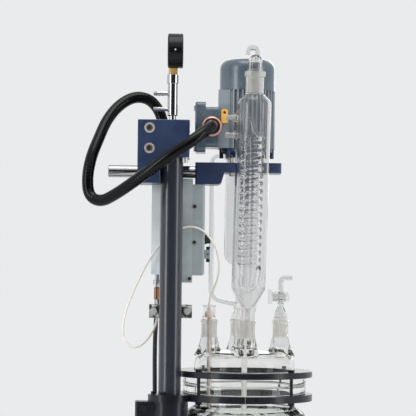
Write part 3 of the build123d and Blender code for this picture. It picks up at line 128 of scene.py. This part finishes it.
class Finish(Shading):
    """A finish with one shader, whose grain lies in the piece's own metres."""

    def __init__(self, name, **sockets):
        self.material = bpy.data.materials.new(name)
        self.material.use_nodes = True
        super().__init__(self.material.node_tree)
        self.place = self.node("TexCoord", output="Object")
        for name, value in sockets.items():
            socket = name.replace("_", " ").title().replace("Ior", "IOR")
            self.join(self.shader, {socket: value})

    def grain(self, size, detail=2.0, stretch=None):
        """Mottling with spots of about that size in metres. Stretch scales it along each axis."""
        place = self.place
        if stretch:
            place = self.node("Mapping", {}, {"Vector": place, "Scale": stretch})
        return self.node("TexNoise", {}, {"Vector": place, "Scale": 1 / size, "Detail": detail})

    def blend(self, share, first, second):
        """One colour turning into another as share goes from 0 to 1."""
        return self.node("Mix", {"data_type": "RGBA"}, {0: share, 6: first, 7: second}, output=2)

    def paint(self, share, first, second):
        """Colours the finish, from the first colour to the second as share goes from 0 to 1."""
        self.join(self.shader, {"Base Color": self.blend(share, first, second)})

    def ease(self, value, low, high, out_low=0.0, out_high=1.0):
        """Turns a range of values into another, and holds it at the ends."""
        sockets = {"Value": value, "From Min": low, "From Max": high, "To Min": out_low, "To Max": out_high}
        return self.node("MapRange", {}, sockets)

    def relief(self, height, depth):
        """Raises the surface by height times depth, in metres."""
        bump = self.node("Bump", {}, {"Height": height, "Distance": depth, "Strength": 1.0})
        self.join(self.shader, {"Normal": bump})

    def height(self, axis="Z"):
        """How far along one axis a point lies, in metres."""
        return self.node("SeparateXYZ", {}, {"Vector": self.place}, output=axis)


def smooth_line(name, points):
    """A cord's centre line: a smooth curve led by the route's points, in metres."""
    data = bpy.data.curves.new(name, "CURVE")
    data.dimensions = "3D"
    line = data.splines.new("NURBS")
    line.points.add(len(points) - 1)
    for point, place in zip(line.points, points):
        point.co = (*place, 1)
    line.order_u = 3
    line.use_endpoint_u = True
    line.resolution_u = 10
    curve = bpy.data.objects.new(name, data)
    bpy.context.scene.collection.objects.link(curve)
    return curve


def walked(curve, step):
    """Points a step apart along a curve's own line."""
    mesh = bpy.data.meshes.new_from_object(curve)
    line = [vertex.co.copy() for vertex in mesh.vertices]
    bpy.data.meshes.remove(mesh)
    lengths = [0.0]
    for first, second in zip(line, line[1:]):
        lengths.append(lengths[-1] + (second - first).length)
    count = round(lengths[-1] / step)
    places, index = [], 0
    for number in range(count + 1):
        reach = lengths[-1] * number / count
        while index < len(line) - 2 and lengths[index + 1] < reach:
            index += 1
        share = (reach - lengths[index]) / (lengths[index + 1] - lengths[index])
        places.append(line[index].lerp(line[index + 1], share))
    return places


def hose(name, places, sides, radius_at):
    """A closed tube round a walked line; radius_at takes the step and the turn, both from 0."""
    mesh = bpy.data.meshes.new(name)
    verts, faces = [], []
    ahead = (places[1] - places[0]).normalized()
    across = ahead.orthogonal().normalized()
    for number, place in enumerate(places):
        last, following = places[max(number - 1, 0)], places[min(number + 1, len(places) - 1)]
        heading = (following - last).normalized()
        across = (across - heading * across.dot(heading)).normalized()
        beside = heading.cross(across)
        for side in range(sides):
            angle = 2 * math.pi * side / sides
            reach = across * math.cos(angle) + beside * math.sin(angle)
            verts.append(place + reach * radius_at(number, side / sides))
    for number in range(len(places) - 1):
        for side in range(sides):
            first, second = number * sides + side, number * sides + (side + 1) % sides
            faces.append((first, second, second + sides, first + sides))
    faces.append(tuple(reversed(range(sides))))
    faces.append(tuple(range(len(verts) - sides, len(verts))))
    mesh.from_pydata([tuple(vert) for vert in verts], [], faces)
    mesh.polygons.foreach_set("use_smooth", [True] * (len(faces) - 2) + [False] * 2)
    piece = bpy.data.objects.new(name, mesh)
    bpy.context.scene.collection.objects.link(piece)
    return piece


conduit_route = [
    (0.007, -0.062, 1.194), (0.007, -0.092, 1.194), (-0.001, -0.120, 1.184), (-0.023, -0.137, 1.166),
    (-0.057, -0.141, 1.142), (-0.094, -0.130, 1.116), (-0.128, -0.110, 1.092), (-0.160, -0.084, 1.071),
    (-0.189, -0.058, 1.057), (-0.211, -0.044, 1.069), (-0.214, -0.042, 1.103), (-0.208, -0.033, 1.139),
    (-0.196, -0.012, 1.173), (-0.183, 0.014, 1.209), (-0.161, 0.037, 1.239), (-0.133, 0.050, 1.255),
    (-0.106, 0.055, 1.250), (-0.088, 0.057, 1.228), (-0.080, 0.057, 1.197), (-0.068, 0.056, 1.156),
    (-0.068, 0.056, 1.118),
]
conduit_skin = Finish("black_conduit_skin", specular_ior_level=0.2)
conduit_dust = conduit_skin.grain(0.012, 4)
conduit_skin.join(conduit_skin.shader, {
    "Base Color": conduit_skin.blend(conduit_dust, shade(6, 7, 8), shade(12, 13, 15)),
    "Roughness": conduit_skin.ease(conduit_dust, 0.3, 0.7, 0.09, 0.18),
})
conduit_skin.relief(conduit_skin.grain(0.0016, 3), 0.00006)
conduit_line = smooth_line("conduit_line", conduit_route)
conduit_step, conduit_sides, conduit_radius = 0.0011, 20, 0.0105
rib_pitch, rib_groove, rib_softness = 0.0055, 0.00016, 0.16
conduit_steps = walked(conduit_line, conduit_step)
bpy.data.objects.remove(conduit_line)


def conduit_rib(step, turn):
    """The spiral strip's overlap shows through the skin as one shallow groove a turn."""
    along = (step * conduit_step / rib_pitch - turn) % 1.0
    return conduit_radius - rib_groove * math.exp(-((along - 0.5) / rib_softness) ** 2)


conduit = hose("conduit_hose", conduit_steps, conduit_sides, conduit_rib)
conduit.data.materials.append(conduit_skin.material)
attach(conduit, "stand")
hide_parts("conduit")
[tuple(place) for place in conduit_steps[::8]] + [tuple(conduit_steps[-1])]


# Sensor cable
# A thin white silicone cable runs from the temperature probe in the left neck, up and
# over past the post, and hangs in a loop before it enters the gland under the heat sink.
sensor_route = [
    (0.006, 0.000, 0.872), (0.006, 0.000, 0.886), (0.013, -0.001, 0.903), (0.021, -0.004, 0.923),
    (0.024, -0.009, 0.948), (0.019, -0.017, 0.974), (0.006, -0.028, 0.998), (-0.013, -0.036, 1.014),
    (-0.037, -0.036, 1.017), (-0.060, -0.035, 1.005), (-0.081, -0.0353, 0.986), (-0.098, -0.038, 0.963),
    (-0.115, -0.042, 0.932), (-0.134, -0.045, 0.890), (-0.146, -0.046, 0.853), (-0.148, -0.045, 0.822),
    (-0.138, -0.044, 0.803), (-0.122, -0.042, 0.799), (-0.106, -0.036, 0.811), (-0.094, -0.024, 0.829),
    (-0.087, -0.012, 0.848), (-0.089, -0.008, 0.869), (-0.089, -0.008, 0.885),
]
white_silicone = Finish("white_silicone")
silicone_haze = white_silicone.grain(0.009, 4)
white_silicone.join(white_silicone.shader, {
    "Base Color": white_silicone.blend(silicone_haze, shade(236, 229, 217), shade(250, 247, 240)),
    "Roughness": white_silicone.ease(silicone_haze, 0.3, 0.7, 0.34, 0.5),
})
white_silicone.relief(white_silicone.grain(0.0009, 2), 0.00004)
sensor_cable = smooth_line("sensor_lead", sensor_route)
sensor_radius = 0.002
sensor_cable.data.bevel_depth = sensor_radius
sensor_cable.data.bevel_resolution = 4
sensor_cable.data.use_fill_caps = True
sensor_cable.data.materials.append(white_silicone.material)
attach(sensor_cable, "stand")
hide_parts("sensor_cable")


# Power cord
# The black rubber mains lead drops from its gland behind the post to the base plate. The
# length that is put away lies there in four turns, with the moulded plug on top of them.
cord_route = [
    (-0.089, 0.024, 0.885), (-0.090, 0.024, 0.852), (-0.092, 0.022, 0.800), (-0.091, 0.020, 0.720),
    (-0.089, 0.022, 0.620), (-0.088, 0.023, 0.510), (-0.085, 0.021, 0.400), (-0.088, 0.021, 0.290),
    (-0.087, 0.020, 0.200), (-0.088, 0.018, 0.140), (-0.092, 0.016, 0.100), (-0.101, 0.018, 0.066),
    (-0.111, 0.027, 0.044), (-0.120, 0.046, 0.034), (-0.124, 0.069, 0.0343), (-0.124, 0.090, 0.0343),
]
coil_place = Vector((-0.172, 0.128, 0.030))
coil_turns = [(0.0492, 0.0042), (0.0405, 0.0042), (0.0405, 0.0127), (0.0492, 0.0128)]
per_turn = 16
climb = 4
for number in range(per_turn * len(coil_turns) - 1):
    turn_now, within = divmod(number, per_turn)
    angle = 2 * math.pi * within / per_turn
    radius, level = coil_turns[turn_now]
    if within > per_turn - climb and turn_now + 1 < len(coil_turns):
        share = (within - per_turn + climb) / climb
        radius += (coil_turns[turn_now + 1][0] - radius) * share
        level += (coil_turns[turn_now + 1][1] - level) * share
    around = Vector((radius * math.cos(angle), radius * math.sin(angle), level))
    cord_route.append(tuple(coil_place + around))
for x, y, level in (
    (0.0455, -0.0188, 0.0165), (0.0478, 0.0050, 0.0222), (0.0444, 0.0222, 0.0256),
    (0.0345, 0.0350, 0.0282), (0.0215, 0.0415, 0.0291), (0.0125, 0.0420, 0.0291), (0.0100, 0.0420, 0.0291),
):
    cord_route.append(tuple(coil_place + Vector((x, y, level))))
black_rubber = Finish("black_cord_rubber")
rubber_bloom = black_rubber.grain(0.015, 5)
black_rubber.join(black_rubber.shader, {
    "Base Color": black_rubber.blend(rubber_bloom, shade(17, 17, 19), shade(36, 36, 39)),
    "Roughness": black_rubber.ease(rubber_bloom, 0.3, 0.7, 0.38, 0.62),
})
black_rubber.relief(black_rubber.grain(0.0007, 2), 0.00005)
power_cord = smooth_line("power_lead", cord_route)
cord_radius = 0.004
power_cord.data.bevel_depth = cord_radius
power_cord.data.bevel_resolution = 4
power_cord.data.use_fill_caps = True
power_cord.data.materials.append(black_rubber.material)
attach(power_cord, "stand")
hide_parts("power_cord", "cord_coil")


def dress(finish, *nodes):
    """Gives a finish to pieces that keep the shape they were built with."""
    for name in nodes:
        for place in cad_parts[name].material_slots:
            place.link = "OBJECT"
            place.material = finish.material


dress(black_rubber, "power_plug")


# Room
# A pale floor, lit from below at its far end, meets the pale room, and soft boxes light the
# piece. The dark end of the studio behind the camera gives glass and steel their edges.
room_colour = shade(234, 235, 236)
world = bpy.data.worlds.new("studio")
bpy.context.scene.world = world
world.use_nodes = True
world.node_tree.nodes.clear()
studio = Shading(world.node_tree)
ray_kinds = ("Is Camera Ray", "Is Glossy Ray", "Is Transmission Ray")
ray = {name: studio.node("LightPath", output=name) for name in ray_kinds}
seen = (ray["Is Camera Ray"] + ray["Is Glossy Ray"] + ray["Is Transmission Ray"]) > 0.5
fill = studio.node("Background", {}, {"Color": (0.95, 0.97, 1.0, 1), "Strength": 0.62})
backdrop = studio.node("Background", {}, {"Color": room_colour, "Strength": 1.0})
sky = studio.node("MixShader", {}, {0: seen, 1: fill, 2: backdrop})
world_output = world.node_tree.nodes.new("ShaderNodeOutputWorld")
studio.join(world_output, {"Surface": sky})

floor_mesh = bpy.data.meshes.new("studio_floor")
floor_shape = bmesh.new()
floor_radius, floor_drop, glow_from, glow_to = 6.0, 0.0005, 1.0, 5.48
bmesh.ops.create_circle(floor_shape, cap_ends=True, radius=floor_radius, segments=96)
floor_shape.to_mesh(floor_mesh)
floor = bpy.data.objects.new("studio_floor", floor_mesh)
floor.location.z = -floor_drop
bpy.context.scene.collection.objects.link(floor)
floor_finish = Finish("pale_floor", roughness=0.8, emission_strength=1.0)
floor_x, floor_y = floor_finish.height("X"), floor_finish.height("Y")
far_out = floor_finish.ease(floor_x * floor_x + floor_y * floor_y, glow_from**2, glow_to**2)
floor_cloud = floor_finish.grain(0.4, 3)
floor_finish.join(floor_finish.shader, {
    "Base Color": floor_finish.blend(floor_cloud, shade(228, 229, 230), shade(236, 237, 238)),
    "Emission Color": floor_finish.blend(far_out, shade(0, 0, 0), shade(152, 153, 154)),
})
floor.data.materials.append(floor_finish.material)


def soft_box(name, place, target, width, height, watts):
    """A large soft lamp that faces the target."""
    lamp = bpy.data.lights.new(name, "AREA")
    lamp.shape = "RECTANGLE"
    lamp.size, lamp.size_y, lamp.energy = width, height, watts
    holder = bpy.data.objects.new(name, lamp)
    bpy.context.scene.collection.objects.link(holder)
    holder.location = place
    holder.rotation_euler = (Vector(target) - Vector(place)).to_track_quat("-Z", "Y").to_euler()
    holder.visible_transmission = False


soft_box("left_soft_box", (-2.4, -2.0, 1.5), (0, 0, 1.0), 0.9, 2.4, 34)
soft_box("right_soft_box", (2.6, -1.5, 1.4), (0, 0, 1.0), 0.9, 2.4, 22)
soft_box("top_soft_box", (0.0, -0.6, 3.4), (0, 0, 0.9), 1.6, 1.6, 26)
soft_box("back_soft_box", (0.6, 2.8, 1.9), (0, 0, 1.0), 1.6, 1.6, 14)

wall_finish = Finish("dark_studio_wall", roughness=1.0)
wall_finish.paint(wall_finish.grain(0.5), shade(40, 42, 46), shade(56, 58, 62))
wall_mesh = bpy.data.meshes.new("studio_wall")
wall_radius, wall_half_sweep, wall_panels, wall_foot, wall_top = 4.6, 62, 14, -0.2, 3.2
wall_verts = []
for number in range(wall_panels + 1):
    wall_bearing = math.radians(-90 - wall_half_sweep + number * 2 * wall_half_sweep / wall_panels)
    wall_point = (wall_radius * math.cos(wall_bearing), wall_radius * math.sin(wall_bearing))
    wall_verts += [(*wall_point, wall_foot), (*wall_point, wall_top)]
panels = [(2 * n, 2 * n + 2, 2 * n + 3, 2 * n + 1) for n in range(wall_panels)]
wall_mesh.from_pydata(wall_verts, [], panels)
wall = bpy.data.objects.new("studio_wall", wall_mesh)
bpy.context.scene.collection.objects.link(wall)
wall.visible_camera = wall.visible_transmission = False
wall.visible_diffuse = wall.visible_shadow = False
wall.data.materials.append(wall_finish.material)


# Base, post socket and feet
# The base is a thick steel plate under navy enamel on four rubber feet, and the post
# stands in a cast socket that four screws hold down.
def enamel(name, dark, light, gloss=0.3, peel=0.00004, shine=0.5):
    """Sprayed enamel on a casting: a little cloudy, with a faint orange peel and a clear gloss."""
    made = Finish(name, coat_weight=0.7 * shine, coat_roughness=0.12, specular_ior_level=shine)
    cloud = made.grain(0.05, 4)
    made.join(made.shader, {
        "Base Color": made.blend(made.ease(cloud, 0.35, 0.65), dark, light),
        "Roughness": made.ease(made.grain(0.02, 5), 0.3, 0.7, gloss, gloss + 0.14),
    })
    made.relief(made.grain(0.0014, 2), peel)
    return made


navy = enamel("navy_enamel", shade(28, 42, 72), shade(42, 60, 96), 0.34)
dress(navy, "base_plate", "post_socket")
foot_rubber = Finish("foot_rubber", roughness=0.7)
foot_dust = foot_rubber.grain(0.01, 4)
foot_rubber.paint(foot_dust, shade(24, 24, 25), shade(48, 47, 45))
foot_rubber.relief(foot_dust, 0.0001)
dress(foot_rubber, "base_feet")


# Post
# One steel tube in glossy graphite enamel carries everything. It was sprayed upright, so
# its faint runs and its reflections stand along it.
graphite = Finish("graphite_enamel", coat_weight=0.5, coat_roughness=0.12, metallic=0.2)
post_runs = graphite.grain(0.02, 3, (1, 1, 0.06))
graphite.join(graphite.shader, {
    "Base Color": graphite.blend(graphite.ease(post_runs, 0.3, 0.7), shade(37, 41, 49), shade(50, 55, 65)),
    "Roughness": graphite.ease(graphite.grain(0.015, 4, (1, 1, 0.15)), 0.3, 0.7, 0.26, 0.36),
})
graphite.relief(graphite.grain(0.0012, 2), 0.00002)
dress(graphite, "post")


# Cast block, motor arm and cross rod
# The block grips the post and the arm grips the rod, both navy castings that are slit and
# drawn together by socket screws. The rod is ground steel.
dress(navy, "post_block", "motor_arm", "motor_end_bell")


def bright_metal(name, low, high, stretch=(1, 1, 1)):
    """Turned or ground metal, with fine marks that run where the cutter did."""
    made = Finish(name, metallic=1.0)
    marks = made.grain(0.0012, 3, stretch)
    made.join(made.shader, {"Roughness": made.ease(marks, 0.3, 0.7, low, high)})
    made.relief(marks, 0.000012)
    return made


along_rod = (0.05, 1, 1)
ground_steel = bright_metal("ground_steel", 0.1, 0.2, along_rod)
ground_steel.paint(ground_steel.grain(0.03, 4), shade(158, 158, 160), shade(192, 190, 188))
dress(ground_steel, "cross_rod")
case_screw_steel = bright_metal("case_screw_steel", 0.3, 0.45)
screw_height = case_screw_steel.height()
lowest_cover_screw, highest_cover_screw = 0.915, 1.09
among_case = (screw_height > lowest_cover_screw) * (screw_height < highest_cover_screw)
case_screw_steel.paint(among_case, shade(214, 213, 211), shade(70, 58, 48))
case_screw_steel.join(case_screw_steel.shader, {"Metallic": 0.5 - among_case * 0.3})
dress(case_screw_steel, "cover_screws")


def circle(finish, across, along, centre, radius):
    """1 within a radius of a line that runs along the third axis, 0 outside."""
    off_across = finish.height(across) - centre[0]
    off_along = finish.height(along) - centre[1]
    return off_across * off_across + off_along * off_along < radius * radius


socket_steel = bright_metal("socket_screw_steel", 0.2, 0.36)
socket_radius, upper_screw, lower_screw = 0.0062, (-0.1027, 1.1884), (-0.1027, 1.1526)
# The screws' hex sockets are painted darker: painted shade in their hollows.
upper_socket_shade = circle(socket_steel, "X", "Z", upper_screw, socket_radius)
sockets = upper_socket_shade + circle(socket_steel, "X", "Z", lower_screw, socket_radius)
socket_steel.paint(sockets, shade(214, 210, 204), shade(104, 100, 95))
socket_steel.join(socket_steel.shader, {"Metallic": 0.45 - sockets * 0.4})
dress(socket_steel, "bracket_screws")


# Motor
# A finned casting in grey enamel, with a slate fan cover drawn from sheet on top and a navy
# end bell below. Its steel shaft runs in the coupling under the arm.
slate = enamel("slate_enamel", shade(72, 86, 97), shade(88, 103, 114), 0.2)
fin_grey = enamel("fin_enamel", shade(120, 130, 138), shade(142, 151, 158), 0.36)
dress(slate, "fan_cover", "terminal_box", "terminal_lid")
dress(fin_grey, "motor_body")
shaft_steel = bright_metal("shaft_steel", 0.24, 0.42)
shaft_steel.paint(shaft_steel.grain(0.03, 4), shade(120, 121, 124), shade(176, 177, 179))
dress(shaft_steel, "motor_shaft", "shaft_coupling")
fan_plastic = Finish("fan_plastic", roughness=0.5)
fan_plastic.paint(fan_plastic.grain(0.01), shade(28, 29, 31), shade(44, 45, 47))
dress(fan_plastic, "cooling_fan")


# Conduit gland and earth lug
# A copper washer shows round the gland in the terminal box, and a yellow lug for the earth
# wire is riveted to the motor's pad. A dark red cone fills the lug's hole; its dark red is
# partly the hole's shade, painted in.
copper = bright_metal("copper_washer", 0.3, 0.45)
gland_place, gland_nut_radius = (conduit_route[0][0], conduit_route[0][2]), 0.0148
gland_nut = circle(copper, "X", "Z", gland_place, gland_nut_radius)
copper.paint(gland_nut, shade(234, 174, 158), shade(26, 26, 28))
copper.join(copper.shader, {"Metallic": 0.55 - gland_nut * 0.45})
dress(copper, "conduit_gland")
lug_yellow = Finish("earth_lug_yellow", roughness=0.45)
lug_yellow.paint(lug_yellow.grain(0.004, 3), shade(222, 168, 62), shade(244, 200, 96))
lug_yellow.relief(lug_yellow.grain(0.001, 2), 0.00003)
dress(lug_yellow, "earth_lug")
# Dark red, partly the painted shade of the lug's hole.
rivet_red_and_hole_shade = Finish("lug_rivet_red", roughness=0.5)
rivet_red_and_hole_shade.paint(rivet_red_and_hole_shade.grain(0.002), shade(84, 22, 12), shade(130, 42, 24))
rivet_mesh = bpy.data.meshes.new("lug_rivet")
rivet_shape = bmesh.new()
rivet_foot, rivet_head, rivet_height, rivet_place = 0.00255, 0.0022, 0.0026, (0.0295, -0.0394, 1.220)
bmesh.ops.create_cone(
    rivet_shape, cap_ends=True, radius1=rivet_foot, radius2=rivet_head, depth=rivet_height, segments=24
)
rivet_shape.to_mesh(rivet_mesh)
lug_rivet = bpy.data.objects.new("lug_rivet", rivet_mesh)
lug_rivet.location = rivet_place
lug_rivet.rotation_euler.x = math.radians(90)
bpy.context.scene.collection.objects.link(lug_rivet)
lug_rivet.data.materials.append(rivet_red_and_hole_shade.material)
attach(lug_rivet, "stand")


# Control box
# A cast aluminium case with a darker front cover and a finned heat sink on its back. Knob
# and switch are black mouldings, the cable glands brass and the cross bar zinc-plated.
case_grey = enamel("case_enamel", shade(163, 172, 174), shade(184, 193, 195), 0.4)
# The heat sink is painted much lighter than its anodising: painted light that makes up for the little light
# reaching the back of the case.
sink_grey_painted_light = enamel("heat_sink_anodising_painted_light", shade(226, 235, 237), shade(240, 246, 247), 0.42)
cover_grey = enamel("cover_enamel", shade(147, 157, 160), shade(167, 177, 179), 0.4)
dress(case_grey, "control_box")
dress(sink_grey_painted_light, "heat_sink")
dress(cover_grey, "control_cover")
knob_black = Finish("knob_plastic", coat_weight=0.2)
knob_black.join(knob_black.shader, {
    "Base Color": knob_black.blend(knob_black.grain(0.006), shade(18, 18, 19), shade(34, 34, 36)),
    "Roughness": knob_black.ease(knob_black.grain(0.003), 0.3, 0.7, 0.3, 0.5),
})
dress(knob_black, "speed_knob", "power_switch")
gland_brown = bright_metal("gland_brass", 0.3, 0.5)
gland_nuts_from = 0.907
gland_brown.paint(gland_brown.height() > gland_nuts_from, shade(160, 118, 94), shade(190, 192, 194))
dress(gland_brown, "cable_glands")
bar_zinc = bright_metal("cross_bar_zinc", 0.3, 0.45)
# The sharp dark and bright blotches are painted reflections and highlights, scattered at random over the
# plating.
bar_zinc.paint(bar_zinc.ease(bar_zinc.grain(0.01, 2), 0.42, 0.58), shade(66, 66, 66), shade(214, 213, 211))
bar_zinc.join(bar_zinc.shader, {"Metallic": 0.5})
dress(bar_zinc, "post_cross_bar")


# Glassware
# Borosilicate glass, blown and drawn by hand, so its wall is a little uneven. The ground
# joints are frosted where they meet. Thick walls and thin ones are tinted apart.
def glass(name, tint, frost=(), bend=1.47, milky_highlight_left_of=None):
    """Clear glass. Frost lists the heights between which a ground joint turns it white, and
    what lies left of a given place, such as thick hose ends, is made milky too, as a painted highlight of
    their thick glass."""
    made = Finish(name, base_color=tint, roughness=0.0, transmission_weight=1.0, ior=bend)
    made.relief(made.grain(0.03, 1, (1, 1, 0.4)), 0.0005)
    if frost:
        rise = made.height()
        mask = sum((rise > low) * (rise < high) for low, high in frost)
        if milky_highlight_left_of is not None:
            # Thick hose ends are made milky: a painted highlight for the glints of their thick glass.
            mask = mask + (made.height("X") < milky_highlight_left_of) * 0.8
        speckle = made.grain(0.0008, 2)
        ground = made.node("BsdfPrincipled", {}, {
            "Base Color": shade(222, 220, 214), "Roughness": 0.5, "Transmission Weight": 0.6, "IOR": 1.2,
        })
        share = made.ease(speckle, 0.3, 0.7, 0.2, 0.5) * mask
        mixed = made.node("MixShader", {}, {0: share, 1: Varying(made, made.shader.outputs[0]), 2: ground})
        made.join(made.tree.nodes["Material Output"], {"Surface": mixed})
    return made


clear_glass = glass("borosilicate", (0.93, 0.93, 0.93, 1))
heavy_glass = glass("adapter_borosilicate", (0.84, 0.84, 0.83, 1), (), 1.4)
outlet_joint, neck_joints, barb_ends = (1.252, 1.291), (0.818, 0.851), 0.0485
condenser_glass = glass("condenser_borosilicate", (0.88, 0.88, 0.885, 1), [outlet_joint], milky_highlight_left_of=barb_ends)
lid_glass = glass("lid_borosilicate", (0.94, 0.94, 0.93, 1), [neck_joints], 1.28)
vessel_glass = glass("vessel_borosilicate", (0.965, 0.97, 0.955, 1))
funnel_glass = glass("funnel_borosilicate", (0.87, 0.875, 0.88, 1))
dress(vessel_glass, "reactor_vessel", "vessel_jacket")
dress(lid_glass, "reactor_lid")
dress(condenser_glass, "condenser_body")
dress(clear_glass, "sensor_adapter", "gauge_lens")
dress(funnel_glass, "dropping_funnel")
dress(heavy_glass, "condenser_outlet", "gas_adapter", "gas_plug")
for name in ("reactor_vessel", "vessel_jacket", "reactor_lid", "condenser_body", "condenser_outlet",
             "dropping_funnel", "sensor_adapter", "gas_adapter", "gas_plug", "gauge_lens"):
    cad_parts[name].visible_shadow = False


# Condenser coil
# One glass tube is wound into a coil inside the condenser. It comes in at the upper barb,
# winds down, and its lower end rises up the middle of the coil to the other barb.
lean_right, lean_front = 0.0204, 0.058
lean = Vector((lean_right, -lean_front, 1)).normalized()
lean_side = Vector((1, 0, -lean_right)).normalized()
lean_back = lean.cross(lean_side)
neck_rim = Vector((0.073, -0.066, 0.850))


def in_condenser(x, y, rise):
    """A place given from the middle of the condenser's rim, along its leaning axes."""
    return neck_rim + lean_side * x + lean_back * y + lean * rise


coil_rounds, coil_foot, coil_head, coil_reach = 17, 0.095, 0.3234, 0.0168
tube_radius, tube_sides, tube_step = 0.0043, 14, 0.0025
coil_route = [
    (-0.0272, 0, 0.327), (-0.006, 0, 0.327), (0, 0, 0.322), (0, 0, 0.250), (0, 0, 0.150), (0, 0, 0.064),
    (0.002, -0.001, 0.0575), (0.009, -0.007, 0.0575), (0.0115, -0.008, 0.064), (0.0148, -0.011, 0.082),
    (0.0166, -0.007, 0.0925),
]
for number in range(coil_rounds * per_turn + 1):
    angle = 2 * math.pi * number / per_turn
    rise = coil_foot + (coil_head - coil_foot) * number / (coil_rounds * per_turn)
    coil_route.append((coil_reach * math.cos(angle), coil_reach * math.sin(angle), rise))
coil_route += [
    (0.0125, 0.009, 0.3265), (0.003, 0.007, 0.336), (0, 0.001, 0.346), (-0.002, 0, 0.358),
    (-0.0272, 0, 0.358),
]
coil_line = smooth_line("coil_line", [in_condenser(*place) for place in coil_route])
coil_steps = walked(coil_line, tube_step)
bpy.data.objects.remove(coil_line)
glass_coil = hose("glass_coil", coil_steps, tube_sides, lambda step, turn: tube_radius)
coil_glass = glass("coil_borosilicate", (0.985, 0.985, 0.985, 1), (), 1.36)
glass_coil.data.materials.append(coil_glass.material)
glass_coil.visible_shadow = False
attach(glass_coil, "stand")
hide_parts("condenser_coil")


# Plastic parts in the glass
# The stirrer, its seal and the valves' plugs are white fluoroplastic, which glass
# doesn't grip and nothing in the reactor attacks.
ptfe = Finish("white_fluoroplastic")
ptfe.join(ptfe.shader, {
    "Base Color": ptfe.blend(ptfe.grain(0.02, 4), shade(226, 226, 222), shade(243, 243, 240)),
    "Roughness": ptfe.ease(ptfe.grain(0.004), 0.3, 0.7, 0.32, 0.5),
})
dress(ptfe, "stirrer_shaft", "stirrer_impeller", "seal_housing", "drain_valve", "drain_plug", "funnel_plug",
      "funnel_stopper", "lid_gasket")
probe_tan = Finish("probe_sheath_tan", roughness=0.45)
probe_tan.paint(probe_tan.grain(0.008, 4), shade(230, 208, 194), shade(246, 232, 222))
dress(probe_tan, "sensor_probe")


# Clamp ring, support ring and their bolts
# Black rings above and below the flanges hold the lid on the vessel, and the lower one
# reaches round the post. Long bolts join them.
ring_black = enamel("ring_enamel", shade(20, 22, 28), shade(30, 32, 40), 0.25, shine=0.25)
dress(ring_black, "clamp_ring", "support_ring", "support_clamp", "ring_bolts")


# Gauge and manifold
# The vacuum gauge stands on a brass stem in a chromed manifold with two hose barbs. Its
# white dial has a plain scale of long and short marks over three quarters of a turn.
gauge_black = enamel("gauge_enamel", shade(8, 9, 10), shade(16, 17, 18), 0.26, shine=0.2)
rivet_centre, rivet_radius, case_front = (-0.0588, 1.3262), 0.0016, -0.08
rivet_spot = circle(gauge_black, "X", "Z", rivet_centre, rivet_radius)
gauge_rivet = rivet_spot * (gauge_black.height("Y") < case_front)
gauge_black.paint(gauge_rivet, shade(12, 13, 14), shade(196, 192, 188))
dress(gauge_black, "gauge_case")
dial_white = Finish("gauge_dial_white", roughness=0.6)
dial_y, dial_z, scale_radius = -0.060, 1.327, 0.0245
beside = dial_white.height("Y") - dial_y
above = dial_white.height("Z") - dial_z
reach = beside.reckon("SQRT", beside * beside + above * above)
half_turns = beside.reckon("ARCTAN2", above, beside) * (1 / math.pi)
on_scale = half_turns.reckon("MAXIMUM", half_turns > -0.25, half_turns < -0.75)
fine_mark = half_turns.reckon("PINGPONG", half_turns * 40, 1.0) < 0.16
long_mark = half_turns.reckon("PINGPONG", half_turns * 4, 1.0) < 0.03
in_fine = (reach > scale_radius - 0.003) * (reach < scale_radius) * fine_mark
in_long = (reach > scale_radius - 0.006) * (reach < scale_radius) * long_mark
rim_line = (reach > scale_radius - 0.0002) * (reach < scale_radius + 0.0004)
marks = in_fine.reckon("MAXIMUM", in_fine, in_long)
marks = marks.reckon("MAXIMUM", marks, rim_line) * on_scale
dial_paint = dial_white.blend(dial_white.grain(0.02), shade(238, 238, 235), shade(248, 248, 246))
dial_white.paint(marks, dial_paint, shade(24, 24, 26))
dress(dial_white, "gauge_dial")
pointer_black = Finish("pointer_black", roughness=0.5)
pointer_black.paint(pointer_black.grain(0.004), shade(18, 18, 18), shade(30, 30, 30))
dress(pointer_black, "gauge_pointer")
brass = bright_metal("turned_brass", 0.18, 0.32)
brass.paint(brass.grain(0.03, 4), shade(196, 156, 82), shade(228, 192, 120))
brass.join(brass.shader, {"Metallic": 0.45})
dress(brass, "gauge_stem")
chrome = bright_metal("chrome_plate", 0.06, 0.14)
chrome.paint(chrome.grain(0.03, 4), shade(176, 176, 178), shade(206, 206, 207))
dress(chrome, "hose_manifold")
